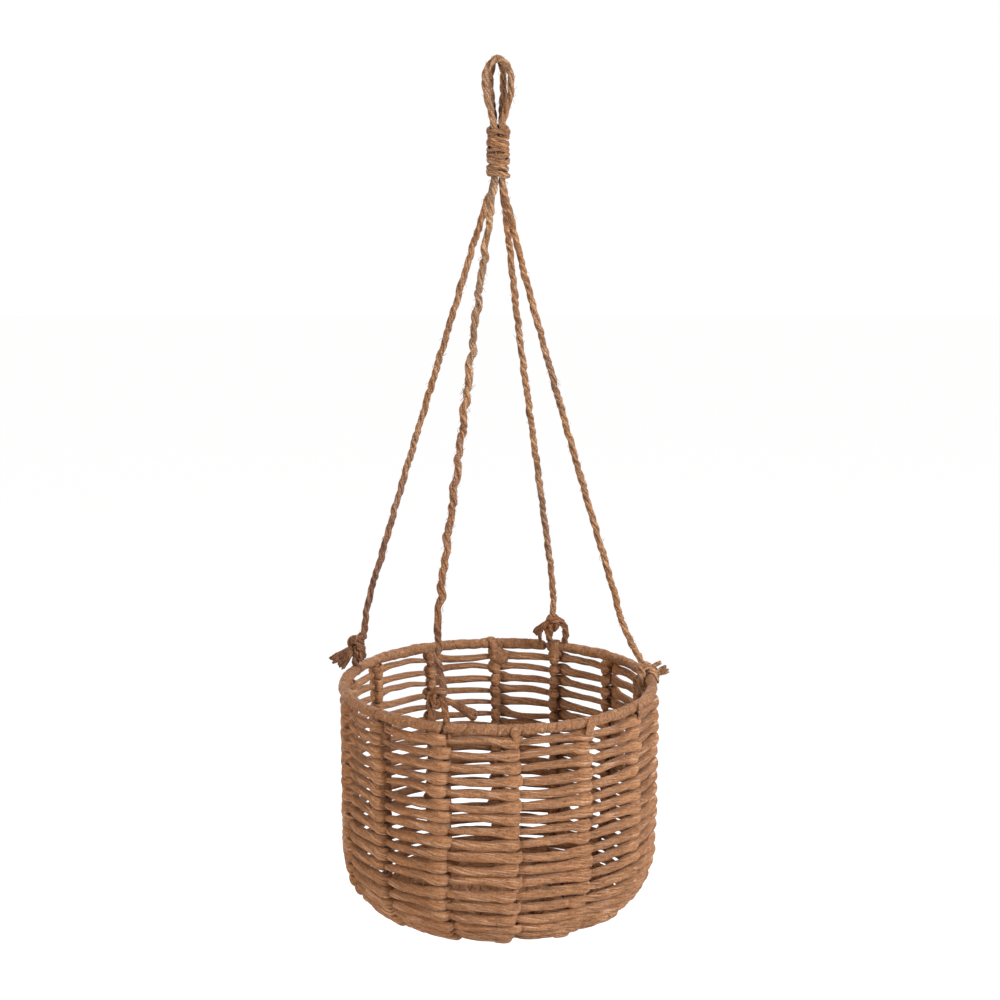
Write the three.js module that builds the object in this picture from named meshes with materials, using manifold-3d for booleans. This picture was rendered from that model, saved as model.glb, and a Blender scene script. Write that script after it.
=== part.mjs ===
// Hanging basket: paper rope woven on a welded wire frame, hung from one hook by two jute cords.
// Millimetres, +Z up. The origin is where the hook bears inside the hanging loop.
import * as THREE from 'three';
import { mergeVertices } from 'three/addons/utils/BufferGeometryUtils.js';
import Module from 'manifold-3d';

const wasm = await Module();
wasm.setup();

// Clearances
const seatGap = 0.3;
const cutOverrun = 1;

// Wire frame
const hangDrop = 474.5;
const rimRadius = 119;
const hoopWireRadius = 1.8;
const stakeSetback = 2.5;
const stakeWireRadius = 1.4;
const wallDepth = 123;
const cornerDrop = 46.5;
const cornerReach = 30;
const hubRadius = 40;
const wireSides = 5;
const rimSteps = 36;
const hubSteps = 28;
const stakeDegrees = [6, 33.5, 59.5, 83.5, 107.5, 131.5, 156.8, 181.3, 208.5, 236.4, 261.5, 287, 313.6, 340.5];

// Woven rows, counted from the rim down and in to the hub
const wallRows = 12;
const cornerRows = 7;
const baseRows = 4;
const slimRows = 8;
const slimBarShare = 0.7;
const fullBarShare = 0.84;
const wrapHeightShare = 0.9;
const roundFaceShares = [0];
const flatFaceShares = [-0.5, 0.5];
const ropeThickness = 7.2;
const barOffset = 2.6;
const wrapLength = 14;
const wrapReachShare = 0.4;
const wrapFace = 7.8;
const wrapBack = 6.5;
const eyeFront = 1.9;
const eyeBack = 2.4;
const eyeBackHeightShare = 0.85;

// Rim binding
const bindingRadius = 4.6;
const bindingOuterDegrees = [132, 60, -15];
const bindingInnerDegrees = [-40, 32, 104];
const strapWidth = 6;
const strapThickness = 2.4;
const strapLength = 8;
const strapLeanDegrees = 31;

// Base centre
const centreTurns = 4;
const centrePitch = 8.6;
const centreRopeRadius = 3.4;
const centreRopeSides = 5;
const centreSteps = 12;

// Hanging cords and their whipping
const cordRadius = 2.65;
const cordSides = 8;
const cordStepsPerPoint = 2;
const bundleStrands = 4;
const strandOffset = 2.9;
const whippingBottom = -84.5;
const whippingTop = -47.5;
const whippingCordRadius = 1.7;
const whippingCordSides = 5;
const whippingTurns = 8;
const whippingCornerDegrees = [-36, 0, 36];

// Knots
const knotStrandRadius = 1.4;
const knotStrandSides = 5;
const knotBodyRadius = 5.2;
const knotBodySides = 6;
const knotBodyRings = 4;
const knotTurnRadius = 4.2;
const knotTurnCordRadius = 2.3;
const knotTurnCordSides = 4;
const knotTurnSteps = 7;
const knotTailRadius = 1.9;
const knotTailLength = 22;
const knotTailSteps = 2;
const knotRise = 21;
const knotInset = 5;
const bightTopSpreadShare = 0.2;
const bightFlareSpreadShare = 0.8;
const bightFlareRiseShare = 0.55;
const bightTurnSides = 8;
const bightTurnDegrees = [180, 225, 270, 315];
const knots = [
  { name: 'knot_front', degrees: 339.5, riseShare: 0.95, spread: 7.5, tailShares: [[1.1, 0.1, -0.55]] },
  { name: 'knot_right', degrees: 100.5, riseShare: 0.45, spread: 4, tailShares: [[0.1, 0.95, 0.3], [-0.3, 1.1, 0]] },
  { name: 'knot_back', degrees: 156.8, riseShare: 0.8, spread: 6.5, tailShares: [[0.6, -0.1, -0.3]] },
  { name: 'knot_left', degrees: 250.5, riseShare: 1, spread: 3, tailShares: [[-0.2, 0.95, -0.35], [0.2, 0.8, -0.6]] },
];

// Route of the cord whose ends are tied at the front and at the right
const frontRightCord = [
  [-39.3, -105.2, -449.2],
  [-42.3, -101.6, -437],
  [-44.2, -91.7, -403],
  [-38.6, -77.9, -354],
  [-30.4, -61.3, -295],
  [-22.6, -44.5, -235],
  [-15.2, -27.7, -175],
  [-10, -17.5, -139],
  [-5.6, -8.6, -108],
  [-2.9, -2.9, -86],
  [-2.9, -2.9, -66],
  [-2.9, -2.9, -46],
  [-6.2, -3, -33],
  [-9.2, -3, -19],
  [-9.1, -3, -9],
  [-6.2, -2.9, -1.2],
  [0, -2.9, 2.65],
  [6.2, -2.9, -1.2],
  [9.3, -3, -9],
  [9.3, -3, -19],
  [6.6, -3, -33],
  [2.9, -2.9, -46],
  [2.9, -2.9, -66],
  [2.9, -2.9, -86],
  [9.4, -1.4, -114],
  [18.6, 1.6, -152],
  [32.8, 5.8, -205],
  [50.2, 10.6, -268],
  [69.2, 15.6, -335],
  [88.4, 20.6, -401],
  [97.6, 22.4, -434],
  [110.5, 20.5, -459.7],
];

// Route of the cord whose ends are tied at the left and at the back
const leftBackCord = [
  [-105.9, 37.5, -448.2],
  [-101, 30.4, -415],
  [-90.6, 27.4, -379],
  [-71, 21.8, -311],
  [-51.6, 16.4, -246],
  [-32.2, 11, -181],
  [-19.4, 7.6, -138],
  [-9.6, 4.8, -107],
  [-2.9, 2.9, -86],
  [-2.9, 2.9, -66],
  [-2.9, 2.9, -46],
  [-4.4, 4.6, -33],
  [-5.6, 7, -19],
  [-5.6, 7.4, -9],
  [-4.2, 6.2, -1.4],
  [-0.8, 4.6, 2.65],
  [2.6, 4.1, -1.4],
  [3.9, 4, -9],
  [3.7, 3.9, -19],
  [3.2, 3.4, -33],
  [2.9, 2.9, -46],
  [2.9, 2.9, -66],
  [2.9, 2.9, -86],
  [5, 8.4, -106],
  [8.6, 17.8, -138],
  [15.9, 36.6, -205],
  [25, 56.4, -274],
  [34.6, 76.8, -346],
  [43.6, 97.4, -418],
  [44.3, 103.3, -452.3],
];

// Materials
const paperRope = { color: 0x9a6e4c, roughness: 0.85, metalness: 0 };
const paperBinding = { color: 0xa6795a, roughness: 0.8, metalness: 0 };
const juteCord = { color: 0x9c7150, roughness: 0.95, metalness: 0 };
const darkWire = { color: 0x3a3d42, roughness: 0.45, metalness: 0.8 };

// Holds a closed geometry's shape only, with its shared corners merged.
function bare(geometry) {
  const copy = geometry.clone();
  copy.deleteAttribute('normal');
  copy.deleteAttribute('uv');
  return mergeVertices(copy);
}

function solidOf(geometry) {
  const shape = bare(geometry);
  return new wasm.Manifold(new wasm.Mesh({
    numProp: 3,
    vertProperties: new Float32Array(shape.attributes.position.array),
    triVerts: new Uint32Array(shape.index.array),
  }));
}

function geometryOf(solid) {
  const mesh = solid.getMesh();
  const geometry = new THREE.BufferGeometry();
  geometry.setAttribute('position', new THREE.BufferAttribute(mesh.vertProperties, mesh.numProp));
  geometry.setIndex(new THREE.BufferAttribute(mesh.triVerts, 1));
  geometry.computeVertexNormals();
  return geometry;
}

function joined(geometries) {
  return geometryOf(geometries.map(solidOf).reduce((whole, next) => whole.add(next)));
}

function polygon(radius, sides) {
  const corners = [];
  for (let i = 0; i < sides; i += 1) {
    const turn = (2 * Math.PI * i) / sides;
    corners.push(new THREE.Vector2(radius * Math.cos(turn), radius * Math.sin(turn)));
  }
  return new THREE.Shape(corners);
}

// A wire bent at its listed points and straight between them.
class BentWire extends THREE.Curve {
  constructor(points) {
    super();
    this.points = points;
  }

  getPoint(share, target = new THREE.Vector3()) {
    const last = this.points.length - 1;
    const place = share * last;
    const from = Math.min(Math.floor(place), last - 1);
    return target.lerpVectors(this.points[from], this.points[from + 1], place - from);
  }

  getPointAt(share, target) {
    return this.getPoint(share, target);
  }

  getTangentAt(share, target = new THREE.Vector3()) {
    const last = this.points.length - 1;
    const near = Math.round(share * last);
    const before = this.points[Math.max(near - 1, 0)];
    const here = this.points[near];
    const after = this.points[Math.min(near + 1, last)];
    const arriving = here.clone().sub(before).normalize();
    const leaving = after.clone().sub(here).normalize();
    return target.copy(arriving).add(leaving).normalize();
  }
}

// A cord that runs smoothly through its listed points, with even steps from each point to the next.
class CordRoute extends THREE.CatmullRomCurve3 {
  getPointAt(share, target) {
    return this.getPoint(share, target);
  }

  getTangentAt(share, target) {
    return this.getTangent(share, target);
  }
}

function tube(path, radius, sides, steps) {
  return new THREE.ExtrudeGeometry(polygon(radius, sides), { steps, extrudePath: path, bevelEnabled: false });
}

function wireRing(radius, wireRadius, sides, steps) {
  return new THREE.TorusGeometry(radius, wireRadius, sides, steps);
}

// Places on the rim: across runs along it, out away from the basket's axis, up along +Z.
function rimFrame(degrees) {
  const turn = THREE.MathUtils.degToRad(degrees);
  const along = new THREE.Vector3(Math.cos(turn), Math.sin(turn), 0);
  const outward = new THREE.Vector3(Math.sin(turn), -Math.cos(turn), 0);
  return { along, outward };
}

function rimPoint({ along, outward }, across, out, up) {
  return new THREE.Vector3(0, 0, up).addScaledVector(along, across).addScaledVector(outward, rimRadius + out);
}

// The stakes stand just inside the hoop and end on the hub ring.
// Their line lies in a plane through the basket's axis: x is the radius and y the height.
const stakeCircleRadius = rimRadius - stakeSetback;
const cornerCentre = new THREE.Vector2(stakeCircleRadius - cornerReach, -wallDepth);
const baseLevel = -wallDepth - cornerDrop;
const stakeLap = Math.min(stakeSetback - stakeWireRadius, hoopWireRadius);
const stakeTop = -Math.sqrt((hoopWireRadius + seatGap) ** 2 - stakeLap ** 2);
const stakeEnd = hubRadius + stakeWireRadius + seatGap;

// How far the straight facets of the hoop run inside its true circle.
const rimSag = rimRadius * (1 - Math.cos(Math.PI / rimSteps));

function stakeBends() {
  const bends = [new THREE.Vector2(stakeCircleRadius, stakeTop)];
  for (let i = 0; i <= cornerRows; i += 1) {
    const turn = (Math.PI / 2) * (i / cornerRows);
    bends.push(new THREE.Vector2(
      cornerCentre.x + cornerReach * Math.cos(turn),
      cornerCentre.y - cornerDrop * Math.sin(turn),
    ));
  }
  bends.push(new THREE.Vector2(stakeEnd, baseLevel));
  return bends;
}

const bends = stakeBends();

function stakeGeometry(degrees) {
  const { outward } = rimFrame(degrees);
  const line = bends.map((bend) => new THREE.Vector3(0, 0, bend.y).addScaledVector(outward, bend.x));
  return tube(new BentWire(line), stakeWireRadius, wireSides, line.length - 1);
}

// A row's seat on the stake line: its middle, and the way down the line.
function seatOn(from, to, share) {
  return { middle: from.clone().lerp(to, share), down: to.clone().sub(from).normalize() };
}

function rowSeats() {
  const seats = [];
  const rowPitch = wallDepth / (wallRows + 0.5);
  const wallTop = new THREE.Vector2(stakeCircleRadius, 0);
  for (let i = 1; i <= wallRows; i += 1) {
    seats.push({ ...seatOn(wallTop, bends[1], (i * rowPitch) / wallDepth), pitch: rowPitch });
  }
  for (let i = 1; i <= cornerRows; i += 1) {
    const pitch = bends[i].distanceTo(bends[i + 1]);
    seats.push({ ...seatOn(bends[i], bends[i + 1], 0.5), pitch });
  }
  const baseStart = bends[cornerRows + 1];
  const baseEnd = bends[cornerRows + 2];
  const basePitch = baseStart.distanceTo(baseEnd) / baseRows;
  for (let i = 1; i <= baseRows; i += 1) {
    seats.push({ ...seatOn(baseStart, baseEnd, (i - 0.5) / baseRows), pitch: basePitch });
  }
  return seats;
}

// One row of paper rope: a bar between every two stakes and a fuller wrap with an eye round each stake.
// Sections run over the outside from the top ridge to the bottom ridge, and back over the inside.
// faceShares places the outside points of a section, as shares of half the row's height.
function rowGeometry({ middle, down, pitch }, barShare, faceShares, flat) {
  const positions = [];
  const faces = [];
  const out = new THREE.Vector2(-down.y, down.x);
  const barHeight = pitch * barShare;
  const wrapHeight = pitch * wrapHeightShare;
  const eyeBackHeight = barHeight * eyeBackHeightShare;
  const barFace = flat ? wrapFace : barOffset + ropeThickness / 2;
  const barBack = barOffset - ropeThickness / 2;

  function corner(frame, across, offset, drop) {
    const radius = middle.x + out.x * offset + down.x * drop;
    const level = middle.y + out.y * offset + down.y * drop;
    const place = new THREE.Vector3(0, 0, level);
    place.addScaledVector(frame.outward, radius).addScaledVector(frame.along, across);
    positions.push(place.x, place.y, place.z);
    return positions.length / 3 - 1;
  }

  function skin(left, right) {
    left.forEach((upper, i) => {
      const next = (i + 1) % left.length;
      faces.push(upper, left[next], right[next], upper, right[next], right[i]);
    });
  }

  function barSection(frame, across) {
    return {
      top: corner(frame, across, barOffset, -barHeight / 2),
      face: faceShares.map((share) => corner(frame, across, barFace, (share * barHeight) / 2)),
      bottom: corner(frame, across, barOffset, barHeight / 2),
      back: corner(frame, across, barBack, 0),
    };
  }

  const outerHalf = (end) => [end.top, ...end.face, end.bottom];
  const innerHalf = (end) => [end.bottom, end.back, end.top];
  const whole = (end) => [...outerHalf(end), end.back];
  const spacing = (2 * Math.PI * middle.x) / stakeDegrees.length;
  const reach = Math.min(wrapLength / 2, spacing * wrapReachShare);
  const stations = stakeDegrees.map((degrees) => {
    const frame = rimFrame(degrees);
    const left = barSection(frame, -reach);
    const right = barSection(frame, reach);
    const front = [
      corner(frame, 0, eyeFront, -wrapHeight / 2),
      ...faceShares.map((share) => corner(frame, 0, wrapFace, (share * wrapHeight) / 2)),
      corner(frame, 0, eyeFront, wrapHeight / 2),
    ];
    const rear = [
      corner(frame, 0, -eyeBack, eyeBackHeight / 2),
      corner(frame, 0, -wrapBack, 0),
      corner(frame, 0, -eyeBack, -eyeBackHeight / 2),
    ];
    skin(outerHalf(left), front);
    skin(innerHalf(left), rear);
    skin(front, outerHalf(right));
    skin(rear, innerHalf(right));
    return { left, right };
  });
  stations.forEach(({ right }, i) => {
    skin(whole(right), whole(stations[(i + 1) % stations.length].left));
  });

  const geometry = new THREE.BufferGeometry();
  geometry.setAttribute('position', new THREE.Float32BufferAttribute(positions, 3));
  geometry.setIndex(faces);
  geometry.computeVertexNormals();
  return geometry;
}

// The section of the strip round the hoop: its edges leave a slit below, where the stakes come in.
function bindingSection() {
  const boreRadius = (hoopWireRadius + seatGap) / Math.cos(Math.PI / wireSides);
  const slitHalf = stakeWireRadius + seatGap;
  const slitNear = slitHalf + rimSag - stakeSetback;
  const slitFar = -slitHalf - stakeSetback;
  const onArc = (radius) => (degrees) => {
    const turn = THREE.MathUtils.degToRad(degrees);
    return new THREE.Vector2(rimRadius + radius * Math.cos(turn), radius * Math.sin(turn));
  };
  const underArc = (radius, x) => new THREE.Vector2(rimRadius + x, -Math.sqrt(radius ** 2 - x ** 2));
  const first = underArc(bindingRadius, slitFar);
  return [
    first,
    ...bindingOuterDegrees.map(onArc(bindingRadius)),
    underArc(bindingRadius, slitNear),
    underArc(boreRadius, slitNear),
    ...bindingInnerDegrees.map(onArc(boreRadius)),
    onArc(boreRadius)(180),
    first.clone(),
  ];
}

// The paper strip bound round the hoop, with its straps, notched where the cords go round the hoop.
function bindingGeometry() {
  const strip = new THREE.LatheGeometry(bindingSection().reverse(), rimSteps);
  strip.rotateX(Math.PI / 2);
  const straps = stakeDegrees.map((degrees) => solidOf(strapGeometry(degrees)));
  const notches = knots.flatMap((knot) => [-1, 1].flatMap((side) => bightNotch(knot, side))).map(solidOf);
  const whole = straps.reduce((binding, strap) => binding.add(strap), solidOf(strip));
  return geometryOf(notches.reduce((binding, notch) => binding.subtract(notch), whole));
}

// The strap that ties the binding down towards the first row, leaning over the stake.
function strapGeometry(degrees) {
  const strap = new THREE.BoxGeometry(strapWidth, strapThickness, strapLength);
  strap.rotateY(THREE.MathUtils.degToRad(strapLeanDegrees));
  strap.translate(0, -rimRadius - bindingRadius + strapThickness / 4, (hoopWireRadius - bindingRadius) / 2);
  strap.rotateZ(THREE.MathUtils.degToRad(degrees));
  return strap;
}

// One side of a knot's bight: down inside the hoop and hooked under it.
function bightRoute({ degrees, riseShare, spread }, side) {
  const frame = rimFrame(degrees);
  const reach = hoopWireRadius + seatGap + rimSag + knotStrandRadius;
  const turnRadius = reach / Math.cos(Math.PI / bightTurnSides);
  const rise = knotRise * riseShare;
  const across = side * spread;
  const hook = bightTurnDegrees.map((turnDegrees) => {
    const turn = THREE.MathUtils.degToRad(turnDegrees);
    return rimPoint(frame, across, turnRadius * Math.cos(turn), turnRadius * Math.sin(turn));
  });
  return [
    rimPoint(frame, across * bightTopSpreadShare, -knotInset, rise),
    rimPoint(frame, across * bightFlareSpreadShare, -knotInset, rise * bightFlareRiseShare),
    ...hook,
  ];
}

function bightGeometry(knot, side) {
  const route = bightRoute(knot, side);
  return tube(new BentWire(route), knotStrandRadius, knotStrandSides, route.length - 1);
}

// The notch that lets one side of a bight round the hoop: open inwards and below.
function bightNotch({ degrees, spread }, side) {
  const width = 2 * (knotStrandRadius + seatGap);
  const reach = bindingRadius + cutOverrun;
  const innerDepth = reach - hoopWireRadius;
  const lowerHeight = reach - hoopWireRadius + seatGap;
  const inner = new THREE.BoxGeometry(width, innerDepth, 2 * reach);
  inner.translate(0, hoopWireRadius + innerDepth / 2, 0);
  const lower = new THREE.BoxGeometry(width, 2 * reach, lowerHeight);
  lower.translate(0, 0, lowerHeight / 2 - reach);
  for (const box of [inner, lower]) {
    box.translate(side * spread, -rimRadius, 0);
    box.rotateZ(THREE.MathUtils.degToRad(degrees));
  }
  return [inner, lower];
}

function tailGeometry(knot, [acrossShare, outShare, upShare]) {
  const frame = rimFrame(knot.degrees);
  const rise = knotRise * knot.riseShare;
  const start = rimPoint(frame, 0, -knotInset, rise);
  const end = rimPoint(
    frame,
    acrossShare * knotTailLength,
    outShare * knotTailLength - knotInset,
    rise + upShare * knotTailLength,
  );
  const middle = start.clone().lerp(end, 0.5);
  middle.z += knotTailRadius;
  const route = new CordRoute([start, middle, end], false, 'centripetal');
  return tube(route, knotTailRadius, knotStrandSides, knotTailSteps);
}

// A knot: its body and one turn square to the leg above, the bight round the hoop, and the cut tails.
function knotGeometry(knot) {
  const centre = rimPoint(rimFrame(knot.degrees), 0, -knotInset, knotRise * knot.riseShare);
  const legFoot = new THREE.Vector3(0, 0, hangDrop + whippingBottom);
  const lean = new THREE.Quaternion().setFromUnitVectors(
    new THREE.Vector3(0, 0, 1),
    legFoot.sub(centre).normalize(),
  );
  const body = new THREE.SphereGeometry(knotBodyRadius, knotBodySides, knotBodyRings);
  const turn = wireRing(knotTurnRadius, knotTurnCordRadius, knotTurnCordSides, knotTurnSteps);
  body.rotateX(Math.PI / 2);
  for (const piece of [body, turn]) {
    piece.applyQuaternion(lean);
    piece.translate(centre.x, centre.y, centre.z);
  }
  const sides = [-1, 1].map((side) => bightGeometry(knot, side));
  const tails = knot.tailShares.map((shares) => tailGeometry(knot, shares));
  return joined([body, turn, ...sides, ...tails]);
}

// The whipping: one cord wound round the four strands, straight across each side of the bundle
// and round its corners. It starts and ends on a straight stretch.
const cornerPoints = whippingCornerDegrees.length;
const pointsPerTurn = bundleStrands * cornerPoints;

function whippingRoute() {
  const around = cordRadius + seatGap + whippingCordRadius;
  const strandReach = strandOffset * Math.SQRT2;
  const first = cornerPoints - 1;
  const last = whippingTurns * pointsPerTurn;
  const points = [];
  for (let i = first; i <= last; i += 1) {
    const strandTurn = (2 * Math.PI * (Math.floor(i / cornerPoints) + 0.5)) / bundleStrands;
    const turn = strandTurn + THREE.MathUtils.degToRad(whippingCornerDegrees[i % cornerPoints]);
    points.push(new THREE.Vector3(
      strandReach * Math.cos(strandTurn) + around * Math.cos(turn),
      strandReach * Math.sin(strandTurn) + around * Math.sin(turn),
      THREE.MathUtils.mapLinear(i, first, last, whippingBottom, whippingTop),
    ));
  }
  return points;
}

const whippingPoints = whippingRoute();

// The least gap between the whipping's turns, measured on its points.
function leastGap(points, stepsPerTurn, radius) {
  let least = Infinity;
  points.forEach((here, i) => {
    for (let j = i + Math.floor(stepsPerTurn / 2); j < points.length; j += 1) {
      least = Math.min(least, here.distanceTo(points[j]) - 2 * radius);
    }
  });
  return least;
}

// The flat coil of paper rope that closes the base inside the hub.
function centrePoints() {
  const points = [];
  const outer = hubRadius - stakeWireRadius - seatGap - centreRopeRadius;
  for (let i = 0; i <= centreTurns * centreSteps; i += 1) {
    const turn = (2 * Math.PI * i) / centreSteps;
    const radius = outer - (centrePitch * i) / centreSteps;
    points.push(new THREE.Vector3(radius * Math.cos(turn), radius * Math.sin(turn), baseLevel));
  }
  return points.filter((point) => Math.hypot(point.x, point.y) > centreRopeRadius);
}

// Assembly
const basket = new THREE.Group();
basket.position.z = -hangDrop;
const part = new THREE.Group();
part.add(basket);

function place(group, name, geometry, finish) {
  const mesh = new THREE.Mesh(geometry, new THREE.MeshStandardMaterial(finish));
  mesh.name = name;
  group.add(mesh);
}

const twoDigits = (number) => String(number).padStart(2, '0');

place(basket, 'rim_hoop', wireRing(rimRadius, hoopWireRadius, wireSides, rimSteps), darkWire);
const hubRing = wireRing(hubRadius, stakeWireRadius, wireSides, hubSteps);
place(basket, 'hub_ring', hubRing.translate(0, 0, baseLevel), darkWire);
stakeDegrees.forEach((degrees, i) => {
  place(basket, `stake_${twoDigits(i + 1)}`, stakeGeometry(degrees), darkWire);
});

rowSeats().forEach((seat, i) => {
  const barShare = i < slimRows ? slimBarShare : fullBarShare;
  const restsFlat = i === wallRows + cornerRows;
  const faceShares = i < slimRows || restsFlat ? flatFaceShares : roundFaceShares;
  const row = rowGeometry(seat, barShare, faceShares, restsFlat);
  place(basket, `woven_row_${twoDigits(i + 1)}`, row, paperRope);
});

place(basket, 'rim_binding', bindingGeometry(), paperBinding);
const centreRoute = centrePoints();
const centrePath = new CordRoute(centreRoute, false, 'centripetal');
const centreCoil = tube(centrePath, centreRopeRadius, centreRopeSides, centreRoute.length - 1);
place(basket, 'base_centre_coil', centreCoil, paperRope);
for (const knot of knots) {
  place(basket, knot.name, knotGeometry(knot), juteCord);
}

for (const [name, route] of [['cord_front_right', frontRightCord], ['cord_left_back', leftBackCord]]) {
  const path = new CordRoute(route.map((point) => new THREE.Vector3(...point)), false, 'centripetal');
  place(part, name, tube(path, cordRadius, cordSides, (route.length - 1) * cordStepsPerPoint), juteCord);
}

const whippingPath = new CordRoute(whippingPoints, false, 'centripetal');
const whipping = tube(whippingPath, whippingCordRadius, whippingCordSides, whippingPoints.length - 1);
place(part, 'whipping_cord', whipping, juteCord);
const whippingGap = leastGap(whippingPoints, pointsPerTurn, whippingCordRadius);
console.log(`whipping: least gap between turns ${whippingGap.toFixed(2)} mm`);

export default part;
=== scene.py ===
"""Hanging basket woven from paper rope, hung by jute cords: the finished model around its measured frame."""
import math
import random

import bpy
import numpy as np
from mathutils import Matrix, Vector


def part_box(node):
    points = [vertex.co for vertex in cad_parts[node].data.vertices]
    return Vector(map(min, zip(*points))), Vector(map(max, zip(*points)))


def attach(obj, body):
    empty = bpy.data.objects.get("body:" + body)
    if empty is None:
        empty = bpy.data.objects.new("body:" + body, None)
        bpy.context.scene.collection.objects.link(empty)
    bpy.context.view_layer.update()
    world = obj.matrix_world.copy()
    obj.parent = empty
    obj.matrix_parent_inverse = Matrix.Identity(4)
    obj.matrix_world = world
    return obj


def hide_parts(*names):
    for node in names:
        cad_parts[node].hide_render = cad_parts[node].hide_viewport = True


bl_info = {
    "name": "Hanging Paper Rope Basket",
    "version": (1, 0, 0),
    "blender": (4, 5, 0),
    "location": "View3D > Sidebar > Basket",
    "description": "Builds a hanging basket woven from paper rope, with its wire frame, cords and knots",
    "category": "Add Mesh",
}

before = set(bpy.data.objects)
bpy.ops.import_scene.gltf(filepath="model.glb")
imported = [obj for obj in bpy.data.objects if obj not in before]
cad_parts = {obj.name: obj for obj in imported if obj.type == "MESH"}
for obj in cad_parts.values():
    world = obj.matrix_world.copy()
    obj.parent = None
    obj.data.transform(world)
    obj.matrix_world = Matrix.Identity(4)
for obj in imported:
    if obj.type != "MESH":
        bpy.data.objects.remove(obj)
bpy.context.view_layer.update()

MM = 0.001
ROOT = "root"
STAKES = 14
WALL_ROWS = 12
CORNER_ROWS = 7
BASE_ROWS = 4
SLIM_ROWS = 8
STRANDS = 3

# Routes of the two hanging cords, in millimetres from the hook, as the frame has them
FRONT_RIGHT_CORD = [
    (-39.3, -105.2, -449.2), (-42.3, -101.6, -437), (-44.2, -91.7, -403), (-38.6, -77.9, -354),
    (-30.4, -61.3, -295), (-22.6, -44.5, -235), (-15.2, -27.7, -175), (-10, -17.5, -139),
    (-5.6, -8.6, -108), (-2.9, -2.9, -86), (-2.9, -2.9, -66), (-2.9, -2.9, -46), (-6.2, -3, -33),
    (-9.2, -3, -19), (-9.1, -3, -9), (-6.2, -2.9, -1.2), (0, -2.9, 2.65), (6.2, -2.9, -1.2),
    (9.3, -3, -9), (9.3, -3, -19), (6.6, -3, -33), (2.9, -2.9, -46), (2.9, -2.9, -66),
    (2.9, -2.9, -86), (9.4, -1.4, -114), (18.6, 1.6, -152), (32.8, 5.8, -205), (50.2, 10.6, -268),
    (69.2, 15.6, -335), (88.4, 20.6, -401), (97.6, 22.4, -434), (110.5, 20.5, -459.7),
]
LEFT_BACK_CORD = [
    (-105.9, 37.5, -448.2), (-101, 30.4, -415), (-90.6, 27.4, -379), (-71, 21.8, -311),
    (-51.6, 16.4, -246), (-32.2, 11, -181), (-19.4, 7.6, -138), (-9.6, 4.8, -107),
    (-2.9, 2.9, -86), (-2.9, 2.9, -66), (-2.9, 2.9, -46), (-4.4, 4.6, -33), (-5.6, 7, -19),
    (-5.6, 7.4, -9), (-4.2, 6.2, -1.4), (-0.8, 4.6, 2.65), (2.6, 4.1, -1.4), (3.9, 4, -9),
    (3.7, 3.9, -19), (3.2, 3.4, -33), (2.9, 2.9, -46), (2.9, 2.9, -66), (2.9, 2.9, -86),
    (5, 8.4, -106), (8.6, 17.8, -138), (15.9, 36.6, -205), (25, 56.4, -274), (34.6, 76.8, -346),
    (43.6, 97.4, -418), (44.3, 103.3, -452.3),
]


def stake_angles():
    """The angle of every stake round the basket, from the front towards the right, read off the frame."""
    angles = []
    for number in range(1, STAKES + 1):
        node = f"stake_{number:02d}"
        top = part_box(node)[1].z
        tops = [vertex.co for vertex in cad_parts[node].data.vertices if vertex.co.z > top - MM]
        middle = sum(tops, Vector()) / len(tops)
        angles.append(math.atan2(middle.x, -middle.y))
    return np.unwrap(angles)


def length_prop(name, default, description):
    """A length that a user may change."""
    return bpy.props.FloatProperty(name=name, description=description, default=default, unit="LENGTH")


def colour_prop(name, default, description):
    """A colour that a user may change, given as red, green and blue."""
    return bpy.props.FloatVectorProperty(
        name=name, description=description, default=(*default, 1.0), subtype="COLOR", size=4)


class BasketSizes(bpy.types.PropertyGroup):
    """Sizes of the wire frame and the weave."""
    hang_drop: length_prop("Hang drop", 0.4745, "From the hook down to the rim")
    rim_radius: length_prop("Rim radius", 0.119, "Radius of the hoop's centre line")
    hoop_wire: length_prop("Hoop wire", 0.0018, "Radius of the hoop's wire")
    stake_circle: length_prop("Stake circle", 0.1165, "Radius of the circle the stakes stand on")
    stake_wire: length_prop("Stake wire", 0.0014, "Radius of a stake's wire")
    wall_depth: length_prop("Wall depth", 0.123, "From the rim to where the stakes start to turn in")
    corner_drop: length_prop("Corner drop", 0.0465, "Height of the turned-in corner")
    corner_reach: length_prop("Corner reach", 0.03, "How far the corner comes in")
    hub_radius: length_prop("Hub radius", 0.04, "Radius of the ring in the base")
    binding_radius: length_prop("Binding radius", 0.0047, "Radius of the bound rim's section")
    rope_thickness: length_prop("Rope thickness", 0.0072, "Thickness of the paper rope through the wall")
    cord_diameter: length_prop("Cord diameter", 0.0053, "Diameter of the jute cord")
    cord_lay: length_prop("Cord lay", 0.026, "Length of one turn of the cord's strands")


class BasketColours(bpy.types.PropertyGroup):
    """Colours of the paper, the jute and the wire."""
    paper: colour_prop("Paper rope", (0.348, 0.1535, 0.0585), "Main colour of the paper rope")
    # Painted highlight: the colour laid on the ridges of the paper's folds
    paper_ridge_highlight: colour_prop("Paper ridge", (0.465, 0.270, 0.155), "Colour on the paper's folds")
    # Painted shade: the colour laid in the paper's creases and in the hollows of its folds
    paper_crease_shade: colour_prop("Paper fold", (0.20, 0.074, 0.023), "Colour in the paper's creases")
    jute: colour_prop("Jute", (0.230, 0.110, 0.0490), "Main colour of the jute")
    jute_light: colour_prop("Jute fibre", (0.382, 0.210, 0.106), "Colour of the pale fibres")
    jute_dark: colour_prop("Jute shade", (0.12, 0.05, 0.02), "Colour between the yarns")
    # Wire: the wire's own dark colour turned brown, partly painted shade where it shows between the rows
    wire: colour_prop("Wire", (0.072, 0.046, 0.031), "Colour of the wire")


def sizes():
    return bpy.context.scene.basket_sizes


def colours():
    return bpy.context.scene.basket_colours


# Lines, tubes and meshes

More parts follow.
